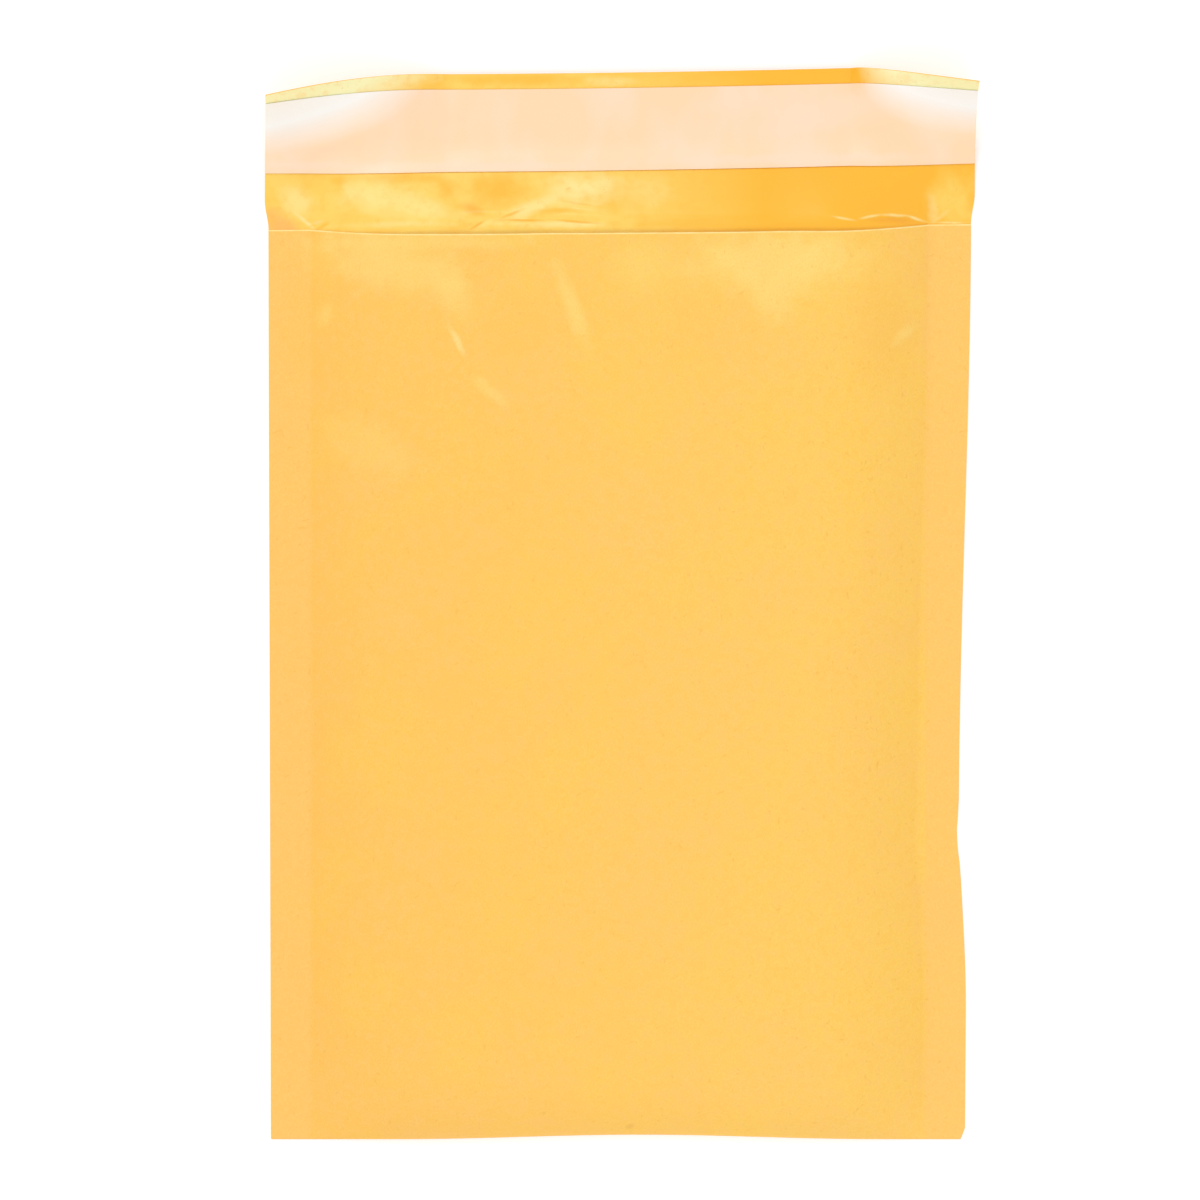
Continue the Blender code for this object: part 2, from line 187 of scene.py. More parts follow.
def seen_directly(tree):
    """One for rays from the camera, a mirror or a clear surface, and zero for lighting rays."""
    rays = add_node(tree, "LightPath", {}).outputs
    direct = rays["Is Camera Ray"]
    for label in ("Is Glossy Ray", "Is Transmission Ray"):
        direct = add_math(tree, "MAXIMUM", direct, rays[label])
    return direct


def soft_lamp(name, place, target, power):
    """A square soft lamp that points at a target."""
    data = bpy.data.lights.new(name, "AREA")
    data.shape = "SQUARE"
    data.size = LAMP_SIDE
    data.energy = power
    lamp = add_object(name, data)
    lamp.location = place
    lamp.rotation_euler = (Vector(target) - Vector(place)).to_track_quat("-Z", "Y").to_euler()


world = bpy.data.worlds.new("pale_studio")
scene.world = world
world.use_nodes = True
sky = world.node_tree
background = sky.nodes["Background"]
background.inputs["Color"].default_value = WHITE
strength = add_math(sky, "MULTIPLY_ADD", seen_directly(sky), 1.0 - WORLD_LIGHT, WORLD_LIGHT)
feed(sky, background.inputs["Strength"], strength)
for lamp in LAMPS:
    soft_lamp(*lamp)
scene.view_settings.view_transform = "Standard"
print("world light:", WORLD_LIGHT, "lamps:", len(LAMPS))

# %% [markdown]
# ## Floor
# The floor is plain and pale, just under the mailer. Rays that see it directly get a little extra
# brightness, which makes it white, and the mailer's soft shadow still shows on it.

# %% Floor
FLOOR_SIDE = 3.0
FLOOR_DROP = 0.0002
FLOOR_LIFT = 0.22
FLOOR_COLOUR = (0.92, 0.92, 0.92, 1.0)


def floor_material():
    """Matte pale floor that looks white to the camera."""
    material, tree, finish = new_material(
        "white_floor", Base_Color=FLOOR_COLOUR, Roughness=0.9, Specular_IOR_Level=0.1,
        Emission_Color=WHITE,
    )
    glow = add_math(tree, "MULTIPLY_ADD", seen_directly(tree), FLOOR_LIFT, 0.0)
    feed(tree, finish["Emission Strength"], glow)
    return material


bm = bmesh.new()
bmesh.ops.create_grid(bm, x_segments=1, y_segments=1, size=FLOOR_SIDE / 2)
bmesh.ops.translate(bm, verts=bm.verts, vec=(0.0, 0.0, -FLOOR_DROP))
floor_mesh = bpy.data.meshes.new("floor")
bm.to_mesh(floor_mesh)
bm.free()
floor_mesh.materials.append(floor_material())
floor = add_object("floor", floor_mesh)
print("floor side in m:", FLOOR_SIDE)

# %% [markdown]
# ## The sizes of the mailer
# A bubble mailer is one kraft sheet folded at the bottom and glued down both sides. Its back panel
# runs on as the flap. These are the sizes that the solids were made from, so the fine pieces take
# the place of the solids without moving. The pouch is a little sprung open, steepest beside the
# seams and the fold.

# %% Sizes of the sheet
PAPER = 0.35 * MM
BODY_WIDTH = 216.0 * MM
BODY_LENGTH = 284.0 * MM
SEAM_WIDTH = 12.8 * MM
CAVITY_HEIGHT = 12.4 * MM
SIDE_SHOULDER = 34.0 * MM
FOLD_SHOULDER = 22.0 * MM
SIDE_POWER = 1.0
FOLD_POWER = 0.65
FLARE_LEFT = 0.8 * MM
FLARE_RIGHT = 1.9 * MM
WAIST_DEPTH = 2.6 * MM
WAIST_FROM_FOLD = 105.0 * MM
WAIST_REACH_DOWN = 65.0 * MM
WAIST_REACH_UP = 175.0 * MM
NOTCH_DEPTH = 0.7 * MM
NOTCH_FROM_FOLD = 94.0 * MM
NOTCH_REACH = 12.0 * MM
CORNER_WEAR = 1.4 * MM
CORNER_WEAR_REACH = 3.5 * MM
FOLD_BOW = 1.4 * MM
FOLD_BOW_X = 7.0 * MM
FOLD_BOW_REACH = 75.0 * MM
MOUTH_SKEW = 0.9 * MM
MOUTH_LEAN = 3.2 * MM
DENTS = (
    (-67.0 * MM, -46.0 * MM, 40.0 * MM, 27.0 * MM, 1.1 * MM),
    (-20.0 * MM, -8.0 * MM, 37.0 * MM, 14.0 * MM, 0.7 * MM),
    (52.0 * MM, 49.0 * MM, 31.0 * MM, 18.0 * MM, 0.9 * MM),
)

# %% Sizes of the flap and its strips
FLAP_GLOSS_ZONE = 17.3 * MM
LINER_WIDTH = 25.8 * MM
FLAP_MARGIN = 4.8 * MM
FLAP_LENGTH = FLAP_GLOSS_ZONE + LINER_WIDTH + FLAP_MARGIN
FLAP_FLARE = 1.2 * MM
FLAP_FLARE_REACH = 9.0 * MM
FLAP_SKEW = 0.6 * MM
FLAP_BOW = 1.0 * MM
FLAP_LIFT = math.radians(6.0)
LIFT_POWER = 1.4
CURL_STEPS = 40
CURL_LEFT = math.radians(68.7)
CURL_RIGHT = math.radians(66.5)
CURL_REACH_LEFT = 56.7 * MM
CURL_REACH_RIGHT = 37.7 * MM
CURL_EASE = 0.12
CURL_FADE_LEFT = 0.85
CURL_FADE_RIGHT = 0.5
CURL_GROWTH_LEFT = 1.45
CURL_GROWTH_RIGHT = 1.75
LEAN_LEFT = 2.5 * MM
LEAN_RIGHT = 0.8 * MM
GAP = 0.3 * MM
ADHESIVE_INSET = 2.7 * MM

HALF_WIDTH = BODY_WIDTH / 2
MIDDLE_FROM_FOLD = (BODY_LENGTH + FLAP_LENGTH) / 2
print("flap length in mm:", round(FLAP_LENGTH / MM, 1))


# %% [markdown]
# ## The form of the body
# Each function below gives one feature of the folded sheet: its side edges, the bow of its fold,
# the rise of the front panel and the soft dents under the mouth. A place on the sheet is an offset
# from its left edge and a distance along it from the fold.

# %% Outline of the body
def falloff(distance, reach):
    """One at no distance, easing to zero at the reach."""
    share = min(abs(distance) / reach, 1.0)
    return math.cos(share * math.pi / 2) ** 2


def left_edge(along):
    """Left edge of the body at a distance from the fold."""
    return -HALF_WIDTH - FLARE_LEFT * along / BODY_LENGTH


def right_edge(along):
    """Right edge of the body, with its waist, its notch and its worn corner."""
    reach = WAIST_REACH_DOWN if along < WAIST_FROM_FOLD else WAIST_REACH_UP
    waist = WAIST_DEPTH * falloff(along - WAIST_FROM_FOLD, reach)
    notch = NOTCH_DEPTH * falloff(along - NOTCH_FROM_FOLD, NOTCH_REACH)
    worn = CORNER_WEAR * max(0.0, 1 - along / CORNER_WEAR_REACH)
    return HALF_WIDTH + FLARE_RIGHT * along / BODY_LENGTH - waist - notch - worn


def body_x(offset, along):
    """Place across the mailer."""
    left = left_edge(along)
    return left + (right_edge(along) - left) * offset / BODY_WIDTH


def body_y(x, along):
    """Place along the mailer, with the bowed fold and the skew of the mouth."""
    share = along / BODY_LENGTH
    bow = FOLD_BOW * falloff(x - FOLD_BOW_X, FOLD_BOW_REACH) * (1 - share) ** 4
    skew = MOUTH_SKEW * x / HALF_WIDTH * share
    return along - MIDDLE_FROM_FOLD + bow + skew


# %% Rise of the pouch
def shoulder(distance, reach, power=SIDE_POWER):
    """Rise from a seam or the fold, level at the reach; a lower power makes it steeper at first."""
    share = min(max(distance / reach, 0.0), 1.0)
    return math.sin(share * math.pi / 2) ** power


def seam_distance(offset):
    """Distance in from the nearer seam, negative on the seam itself."""
    return min(offset, BODY_WIDTH - offset) - SEAM_WIDTH


def dent(x, along, place):
    """Depth of one soft dent that runs in from the mouth and fades to its tip."""
    mouth_x, tip_x, length, half_width, depth = place
    share = (BODY_LENGTH - along) / length
    if share >= 1.0:
        return 0.0
    middle = mouth_x + (tip_x - mouth_x) * share
    return depth * (1 - share) * falloff(x - middle, half_width)


def cavity_height(offset, along):
    """Height of the pouch between its two panels."""
    inward = seam_distance(offset)
    if inward <= 0.0:
        return 0.0
    side = shoulder(inward, SIDE_SHOULDER)
    x = body_x(offset, along)
    dents = sum(dent(x, along, place) for place in DENTS)
    return side * (CAVITY_HEIGHT * shoulder(along, FOLD_SHOULDER, FOLD_POWER) - dents)


# %% [markdown]
# ## Creases
# Paper that has been bent keeps fine straight ridges where it buckled. Here they gather under the
# mouth and on the film side of the flap, and fan out from the two points where the seams end. Each
# crease is a short line with a width and a height. A point near the line is lifted or pressed in,
# most in the middle of its length. The points themselves are moved, and not only the shading, so
# that the creases are there from every side.

# %% Creases in the sheet
FRONT_HEIGHT = 13.0 * MM
FLAP_HEIGHT = 5.0 * MM


def picture_point(column, row, height=0.0):
    """Place, in metres, that the camera sees at a picture column and row, at a height."""
    scale = VIEW_WIDTH / PICTURE_SIDE * (1 - height / VIEW_HEIGHT)
    x = VIEW_CENTRE[0] + (column - PICTURE_SIDE / 2) * scale
    y = VIEW_CENTRE[1] - (row - PICTURE_SIDE / 2) * scale
    return x, y


def crease_lines(height, lines):
    """Creases from picture points, each with its width and height in millimetres."""
    return tuple(
        (picture_point(*start, height), picture_point(*end, height), width * MM, rise * MM)
        for start, end, width, rise in lines
    )


FRONT_CREASES = crease_lines(FRONT_HEIGHT, (
    ((450, 322), (456, 344), 1.4, 0.30),
    ((455, 343), (470, 363), 1.4, 0.40),
    ((470, 363), (481, 396), 2.2, 0.30),
    ((481, 396), (512, 402), 2.2, 0.22),
    ((462, 330), (480, 368), 2.2, -0.35),
    ((392, 256), (451, 324), 4.0, 0.40),
    ((330, 250), (395, 310), 5.0, -0.35),
    ((510, 256), (460, 320), 4.0, -0.45),
    ((553, 250), (594, 351), 3.0, 0.55),
    ((575, 262), (613, 345), 4.0, -0.55),
    ((700, 244), (766, 328), 4.0, -0.50),
    ((872, 244), (784, 326), 4.0, -0.50),
    ((762, 264), (781, 325), 3.0, 0.50),
    ((700, 240), (735, 300), 6.0, 0.30),
    ((892, 345), (926, 320), 2.2, 0.40),
    ((898, 356), (930, 336), 2.2, -0.35),
    ((312, 320), (338, 298), 2.4, 0.35),
    ((300, 420), (352, 492), 3.6, 0.30),
    ((318, 404), (372, 470), 3.6, -0.25),
    ((925, 236), (905, 300), 3.0, 0.25),
    ((318, 240), (345, 290), 3.0, 0.30),
    ((640, 1128), (628, 1136), 1.5, -0.35),
))
FLAP_CREASES = crease_lines(FLAP_HEIGHT, (
    ((280, 202), (303, 219), 1.1, 0.50),
    ((303, 219), (314, 231), 1.0, 0.60),
    ((303, 219), (326, 218), 0.9, 0.50),
    ((316, 226), (346, 216), 1.3, -0.45),
    ((330, 213), (372, 216), 1.3, 0.30),
    ((324, 176), (336, 214), 2.4, -0.35),
    ((340, 180), (352, 206), 2.4, 0.30),
    ((440, 176), (468, 214), 2.6, -0.45),
    ((468, 214), (520, 214), 1.1, 0.40),
    ((468, 221), (520, 221), 0.8, -0.45),
    ((520, 221), (575, 224), 0.8, -0.50),
    ((575, 224), (604, 223), 0.8, -0.45),
    ((466, 231), (489, 224), 0.9, -0.50),
    ((492, 228), (560, 226), 0.9, 0.35),
    ((500, 216), (556, 199), 2.0, 0.40),
    ((555, 202), (608, 207), 1.0, 0.45),
    ((558, 209), (604, 213), 0.9, -0.35),
    ((530, 214), (590, 217), 0.9, 0.35),
    ((546, 176), (502, 212), 2.4, -0.40),
    ((614, 178), (624, 222), 2.8, -0.35),
    ((640, 214), (760, 218), 1.3, 0.25),
    ((622, 222), (770, 223), 1.2, -0.35),
    ((840, 196), (905, 202), 2.6, -0.25),
    ((930, 221), (905, 215.5), 0.9, 0.65),
    ((905, 215.5), (880, 216), 0.9, 0.70),
    ((880, 216), (856, 221), 1.0, 0.60),
    ((850, 222), (830, 219), 1.0, 0.35),
    ((924, 221.5), (862, 222), 1.3, -0.60),
    ((928, 195), (931, 221), 1.0, 0.50),
    ((931, 221), (950, 205), 1.0, 0.40),
    ((931, 221), (916, 203), 1.0, 0.30),
    ((938, 190), (944, 212), 1.6, -0.30),
))
CREASE_HOLD = 0.35
CREASE_REACH = 3.5
CREASE_POWER = 1.3
WAVE_HEIGHT = 0.16 * MM


def crease_height(x, y, creases):
    """Lift of the sheet at a place, from all the creases that pass near it."""
    total = 0.0
    for (x0, y0), (x1, y1), width, height in creases:
        run_x = x1 - x0
        run_y = y1 - y0
        share = ((x - x0) * run_x + (y - y0) * run_y) / (run_x * run_x + run_y * run_y)
        share = min(max(share, 0.0), 1.0)
        distance = math.hypot(x - x0 - share * run_x, y - y0 - share * run_y)
        if distance < CREASE_REACH * width:
            along = CREASE_HOLD + (1 - CREASE_HOLD) * math.sin(math.pi * share)
            total += height * along * math.exp(-(distance / width) ** CREASE_POWER)
    return total


def soft_waves(x, y):
    """Slow, shallow unevenness of a lined paper panel."""
    broad = math.sin(x * 61 + y * 23 + 0.6) * math.sin(y * 47 - x * 19 + 1.1)
    close = math.sin(x * 118 - y * 71) * math.sin(y * 96 + 0.4)
    return WAVE_HEIGHT * (broad + 0.6 * close)


# %% [markdown]
# ## The mouth
# The sheet is stiff where the flap bends away from the pouch, so between the seams it springs up
# off the floor, on both sides of the mouth crease. That is why the mouth looks nearly shut from
# above. The lift is greatest just inside the mouth and dies out into the pouch and up the flap. Its
# size is a share of the pouch's height, so it follows the dents.

# %% Spring of the sheet at the mouth crease
SPRING_SHARE = 0.70
PINCH_SHARE = 0.22
PINCH_START = -12.0 * MM
PINCH_END = -4.0 * MM
SPRING_PEAK = -2.0 * MM
LIP_CLEARANCE = 0.15 * MM
SPRING_REACH_IN = 40.0 * MM
SPRING_REACH_OUT = 30.0 * MM
CREASE_FADE_IN = 14.0 * MM
CREASE_FADE_OUT = 2.0 * MM
CREASE_ROOT = 8.0 * MM


def mouth_spring(offset, past):
    """Lift of the sheet off the floor at a distance past the mouth crease."""
    if seam_distance(offset) <= 0.0:
        return 0.0
    reach = SPRING_REACH_IN if past < SPRING_PEAK else SPRING_REACH_OUT
    pinch = min(max((past - PINCH_START) / (PINCH_END - PINCH_START), 0.0), 1.0)
    share = SPRING_SHARE + PINCH_SHARE * pinch * pinch * (3 - 2 * pinch)
    return share * cavity_height(offset, BODY_LENGTH) * falloff(past - SPRING_PEAK, reach)


def crease_fade(offset, past):
    """Share of the creases that shows: none where the sheet is glued or covered by the liner."""
    free = shoulder(seam_distance(offset), CREASE_ROOT)
    if past < 0.0:
        return free * falloff(past, CREASE_FADE_IN)
    rooted = min(past / CREASE_FADE_OUT, 1.0)
    covered = min(max((FLAP_GLOSS_ZONE - past) / CREASE_FADE_OUT, 0.0), 1.0)
    return max(rooted, free) * covered


def mouth_detail(offset, past, x, y):
    """Spring and creases near the mouth, above the floor and clear of the front panel."""
    lift = mouth_spring(offset, past)
    fade = crease_fade(offset, past)
    if fade > 0.0:
        lift = max(lift + fade * crease_height(x, y, FLAP_CREASES), 0.0)
    if past > 0.0 or seam_distance(offset) <= 0.0:
        return lift
    room = front_point(offset, BODY_LENGTH + past, PAPER)[2] - PAPER
    return min(lift, max(room - LIP_CLEARANCE * min(room / MM, 1.0), 0.0))


# %% [markdown]
# ## Placing the sheet
# The sheet is made flat and then folded. These functions say where a point of the flat sheet goes:
# on the back panel, on the front panel, round the fold or on the flap. The flap's slope grows
# towards its free edge, and far more so towards its two corners, which makes them curl.

# %% Points of the pouch
def back_point(offset, along, depth):
    """Point of the back panel, depth up from its underside."""
    x = body_x(offset, along)
    y = body_y(x, along)
    past = along - BODY_LENGTH
    lift = mouth_detail(offset, past, x, y) if past > -SPRING_REACH_IN else 0.0
    return (x, y, lift + depth)


def front_point(offset, along, depth):
    """Point of the front panel, depth down from its upper side."""
    x = body_x(offset, along)
    height = cavity_height(offset, along)
    lean = MOUTH_LEAN * height / CAVITY_HEIGHT * (along / BODY_LENGTH) ** 3
    y = body_y(x, along) - lean
    fullness = min(2 * height / CAVITY_HEIGHT, 1.0)
    detail = (crease_height(x, y, FRONT_CREASES) + soft_waves(x, y)) * fullness
    return (x, y, 2 * PAPER + height + detail - depth)


def fold_point(offset, depth):
    """Point of the bottom fold."""
    x = body_x(offset, 0.0)
    return (x, body_y(x, 0.0) + depth, PAPER)


# %% Points of the flap
def eased(share):
    """A share with a soft start instead of a kink at zero."""
    share = max(share, 0.0)
    return share * share * (1 + CURL_EASE) / (share + CURL_EASE)


def curl_shares(offset):
    """How far into the left and the right corner's curl an offset lies."""
    left = eased(1 - offset / CURL_REACH_LEFT) ** CURL_FADE_LEFT
    right = eased(1 - (BODY_WIDTH - offset) / CURL_REACH_RIGHT) ** CURL_FADE_RIGHT
    return left, right


def flap_angle(offset, share):
    """Slope of the flap at a share of its length."""
    left, right = curl_shares(offset)
    left_curl = CURL_LEFT * left * share ** CURL_GROWTH_LEFT
    right_curl = CURL_RIGHT * right * share ** CURL_GROWTH_RIGHT
    return FLAP_LIFT * share ** LIFT_POWER + left_curl + right_curl


@lru_cache(maxsize=None)
def flap_run(offset, along):
    """How far the flap has gone forwards and up at a distance from the mouth crease."""
    step = along / CURL_STEPS
    forward = 0.0
    rise = 0.0
    for k in range(CURL_STEPS):
        angle = flap_angle(offset, (k + 0.5) * step / FLAP_LENGTH)
        forward += math.cos(angle) * step
        rise += math.sin(angle) * step
    return forward, rise


def flap_shift(offset, along):
    """How far the flap has moved sideways: it flares past the crease and its corners lean in."""
    share = along / FLAP_LENGTH
    flare = FLAP_FLARE * (1 - falloff(along, FLAP_FLARE_REACH)) * (2 * offset / BODY_WIDTH - 1)
    left, right = curl_shares(offset)
    return flare + (LEAN_LEFT * left - LEAN_RIGHT * right) * share ** 2


def flap_point(offset, along, depth):
    """Point of the flap, depth out from its underside."""
    forward, rise = flap_run(offset, along)
    angle = flap_angle(offset, along / FLAP_LENGTH)
    base_x = body_x(offset, BODY_LENGTH)
    across = base_x / HALF_WIDTH
    askew = (FLAP_SKEW * across + FLAP_BOW * across ** 2) * min(along / FLAP_GLOSS_ZONE, 1.0)
    x = base_x + flap_shift(offset, along)
    y = body_y(base_x, BODY_LENGTH) + askew + forward
    out = depth + mouth_detail(offset, along, x, y)
    return (x, y - math.sin(angle) * out, rise + math.cos(angle) * out)


# %% [markdown]
# ## Shared surface effects
# Kraft paper, film and liner share some effects: paper fibres, soft buckling and patches of another
# tone, many of them painted highlights, painted reflections and painted shade. Each effect is a
# node group, built once, and each material places it with its own values.
# The fibre group gives cloudy tone at two sizes and short dark flecks that lie in several
# directions, because the fibres in real paper do.

# %% Helpers for groups
NO_SHIFT = (0.0, 0.0, 0.0)
NUMBER = "NodeSocketFloat"


def new_group(name, inputs, outputs):
    """A shader node group with its inputs, each a vector or a number, and its outputs."""
    group = bpy.data.node_groups.new(name, "ShaderNodeTree")
    for label, value in inputs.items():
        kind = NUMBER if isinstance(value, float) else "NodeSocketVector"
        socket = group.interface.new_socket(label, in_out="INPUT", socket_type=kind)
        socket.default_value = value
    for label in outputs:
        group.interface.new_socket(label, in_out="OUTPUT", socket_type=NUMBER)
    given = group.nodes.new("NodeGroupInput").outputs
    return group, given, group.nodes.new("NodeGroupOutput").inputs


def place_group(tree, group, vector, **values):
    """One use of a shared group, with its own values."""
    given = {label.replace("_", " "): value for label, value in values.items()}
    return add_node(tree, "Group", {"Vector": vector, **given}, node_tree=group).outputs


# %% Paper fibres
FLECK_SETS = ((0.4, 900.0), (-0.8, 1050.0), (1.7, 800.0))
FLECK_STRETCH = (2.4, 1.0, 1.0)
SPARSE_SCALE = 260.0
CLOUD_SCALE = 38.0
MOTTLE_SCALE = 330.0
RELIEF_SCALE = 2300.0
RELIEF_STRETCH = (1.0, 1.6, 1.0)


def build_paper_fibres():
    """Cloudy tone, dark fibre flecks and the fine relief of pressed paper fibres."""
    group, given, result = new_group(
        "paper_fibres", {"Vector": NO_SHIFT, "Fleck Amount": 0.5},
        ("Cloud", "Mottle", "Flecks", "Height"),
    )
    vector = given["Vector"]
    flecks = None
    for turn, scale in FLECK_SETS:
        turned = add_mapping(group, vector, FLECK_STRETCH, turn)
        grain = add_range(group, add_noise(group, turned, scale, 1.0), 0.69, 0.76)
        flecks = grain if flecks is None else add_math(group, "MAXIMUM", flecks, grain)
    sparse = add_range(group, add_noise(group, vector, SPARSE_SCALE, 1.0), 0.40, 0.60)
    flecks = add_math(group, "MULTIPLY", flecks, sparse)
    flecks = add_math(group, "MULTIPLY", flecks, given["Fleck Amount"])
    relief = add_noise(group, add_mapping(group, vector, RELIEF_STRETCH), RELIEF_SCALE, 3.0)
    feed(group, result["Cloud"], add_noise(group, vector, CLOUD_SCALE, 3.0))
    feed(group, result["Mottle"], add_noise(group, vector, MOTTLE_SCALE, 2.0))
    feed(group, result["Flecks"], flecks)
    feed(group, result["Height"], relief)
    return group


paper_fibres = build_paper_fibres()


# %% Soft buckling
def build_soft_buckling():
    """Soft buckling of a thin sheet that lies loosely on another."""
    group, given, result = new_group(
        "soft_buckling", {"Vector": NO_SHIFT, "Scale": 40.0}, ("Height",),
    )
    noise = add_node(group, "TexNoise", {
        "Vector": given["Vector"], "Scale": given["Scale"], "Detail": 2.0, "Distortion": 0.6,
    })
    feed(group, result["Height"], noise.outputs["Fac"])
    return group


soft_buckling = build_soft_buckling()


# %% [markdown]
# A soft patch is a blurred oval at one place on the piece. A Mapping node of type Texture moves,
# turns and scales the oval, and the distance from its middle gives the mask. One noise for each
# material ruffles the edges of all its patches, so that they don't look drawn.

# %% Soft patch
RUFFLE = 0.9
RUFFLE_SCALE = 170.0
FULL_PATCH = 0.15


def add_ruffle(tree, vector):
    """Small sideways shifts that ruffle the edges of patches."""
    noise = add_noise(tree, vector, RUFFLE_SCALE, 3.0, "Color")
    reach = (RUFFLE, RUFFLE, 0.0)
    middle = (-RUFFLE / 2, -RUFFLE / 2, 0.0)
    given = {0: noise, 1: reach, 2: middle}
    return add_node(tree, "VectorMath", given, operation="MULTIPLY_ADD").outputs["Vector"]


def build_soft_patch():
    """A mask that is one in the middle of an oval and fades to its edge."""
    group, given, result = new_group(
        "soft_patch",
        {"Vector": NO_SHIFT, "Ruffle": NO_SHIFT, "Centre": NO_SHIFT, "Turn": NO_SHIFT,
         "Reach": (1.0, 1.0, 1.0), "Amount": 1.0},
        ("Mask",),
    )
    oval = add_node(group, "Mapping", {
        "Vector": given["Vector"], "Location": given["Centre"], "Rotation": given["Turn"],
        "Scale": given["Reach"],
    }, vector_type="TEXTURE")
    ends = {0: oval.outputs["Vector"], 1: given["Ruffle"]}
    ruffled = add_node(group, "VectorMath", ends, operation="ADD").outputs["Vector"]
    length = add_node(group, "VectorMath", {0: ruffled}, operation="LENGTH").outputs["Value"]
    fade = add_range(group, length, 1.0, FULL_PATCH, interpolation_type="SMOOTHSTEP")
    mask = add_math(group, "MULTIPLY", fade, given["Amount"])
    feed(group, result["Mask"], mask)
    return group


soft_patch = build_soft_patch()
print("node groups:", [group.name for group in bpy.data.node_groups])


def add_patches(tree, vector, colour, height, patches):
    """Lays patches over a colour: middle and reach in the picture, turn, amount and tint."""
    pixel = VIEW_WIDTH / PICTURE_SIDE
    ruffle = add_ruffle(tree, vector)
    for middle, reach, turn, amount, tint in patches:
        patch = place_group(
            tree, soft_patch, vector, Ruffle=ruffle, Centre=(*picture_point(*middle, height), 0.0),
            Turn=(0.0, 0.0, math.radians(turn)), Reach=(reach[0] * pixel, reach[1] * pixel, 1.0),
            Amount=amount,
        )
        colour = add_tint(tree, patch["Mask"], colour, tint)
    return colour


def add_tones(tree, fibres, colour, tones):
    """Tints a colour by the fibre values, each from nothing at one value to the most at another."""
    for label, none_at, most_at, most, tint in tones:
        mask = add_range(tree, fibres[label], none_at, most_at, 0.0, most)
        colour = add_tint(tree, mask, colour, tint)
    return colour


# %% [markdown]
# ## Kraft paper
# The outside of the sheet is golden kraft: matte, a little cloudy, with short dark fibre flecks. It
# is a touch pinker on the left than on the right, and pinker again on the pressed seams. Under the
# mouth, pale patches are painted highlights where the front panel tips towards the light, and the
# darker patches beside them are painted shade; a dark spot on the small crease by the fold is
# painted shade too. Each of these is a mask that tints the base colour.

# %% Kraft outside
KRAFT_LEFT = (0.985, 0.535, 0.104, 1.0)
KRAFT_RIGHT = (0.990, 0.605, 0.112, 1.0)
KRAFT_PINK = (0.985, 0.555, 0.148, 1.0)
KRAFT_YELLOW = (0.988, 0.605, 0.078, 1.0)
KRAFT_DEEP = (0.975, 0.535, 0.090, 1.0)
KRAFT_PALE = (0.995, 0.700, 0.205, 1.0)
KRAFT_EDGE = (1.0, 0.770, 0.300, 1.0)
# Dark fibre flecks, and painted shade in the small crease by the fold.
FLECK_DARK_AND_CREASE_SHADE = (0.88, 0.47, 0.075, 1.0)
# Painted highlights (pale) and painted shade (deep) on the front panel under the mouth.
FRONT_HIGHLIGHTS_AND_SHADE = (
    ((885, 330), (46, 90), 0.0, 0.50, KRAFT_DEEP),
    ((700, 330), (60, 60), 0.0, 0.30, KRAFT_DEEP),
    ((775, 260), (135, 42), 0.0, 0.60, KRAFT_PALE),
    ((812, 262), (62, 30), 35.0, 0.45, KRAFT_PALE),
    ((748, 280), (60, 22), -42.0, 0.45, KRAFT_PALE),
    ((778, 298), (30, 36), 0.0, 0.45, KRAFT_PALE),
    ((640, 268), (40, 40), 0.0, 0.30, KRAFT_PALE),
    ((572, 305), (13, 60), 20.0, 0.55, KRAFT_PALE),
    ((385, 262), (110, 40), -12.0, 0.50, KRAFT_PALE),
    ((452, 290), (26, 46), 25.0, 0.45, KRAFT_PALE),
    ((430, 240), (160, 14), 0.0, 0.40, KRAFT_PALE),
    ((457, 341), (5, 24), 25.0, 0.60, KRAFT_EDGE),
    ((488, 390), (10, 34), 50.0, 0.40, KRAFT_PALE),
    ((366, 446), (74, 34), -28.0, 0.25, KRAFT_PALE),
    ((908, 331), (24, 8), 40.0, 0.50, KRAFT_PALE),
    ((322, 312), (12, 16), -30.0, 0.45, KRAFT_PALE),
    ((520, 330), (60, 50), 0.0, 0.35, KRAFT_DEEP),
    ((300, 320), (40, 90), 0.0, 0.35, KRAFT_DEEP),
    # Painted shade in the small crease by the fold.
    ((630, 1131), (7, 5), 30.0, 0.80, FLECK_DARK_AND_CREASE_SHADE),
)
CLOUD_TONES = (
    ("Cloud", 0.50, 0.66, 0.35, KRAFT_PINK),
    ("Cloud", 0.50, 0.36, 0.30, KRAFT_YELLOW),
    ("Mottle", 0.50, 0.62, 0.35, KRAFT_PINK),
    ("Mottle", 0.50, 0.38, 0.35, KRAFT_DEEP),
)
GRAIN_TONES = (
    ("Height", 0.50, 0.64, 0.30, KRAFT_DEEP),
    ("Height", 0.50, 0.36, 0.20, KRAFT_PALE),
)
SEAM_TONES = ((1.0, 0.60), (-1.0, 0.55))


def layered_kraft(tree, vector, fibres):
    """Colour of the kraft's outside before its fibres."""
    across = add_axes(tree, vector)["X"]
    drift = add_range(tree, across, -0.8 * HALF_WIDTH, 0.8 * HALF_WIDTH)
    colour = add_tint(tree, drift, KRAFT_LEFT, KRAFT_RIGHT)
    colour = add_tones(tree, fibres, colour, CLOUD_TONES)
    seam_line = HALF_WIDTH - SEAM_WIDTH
    for side, most in SEAM_TONES:
        seam = add_range(tree, across, side * seam_line, side * (seam_line + MM), 0.0, most)
        colour = add_tint(tree, seam, colour, KRAFT_PINK)
    return colour


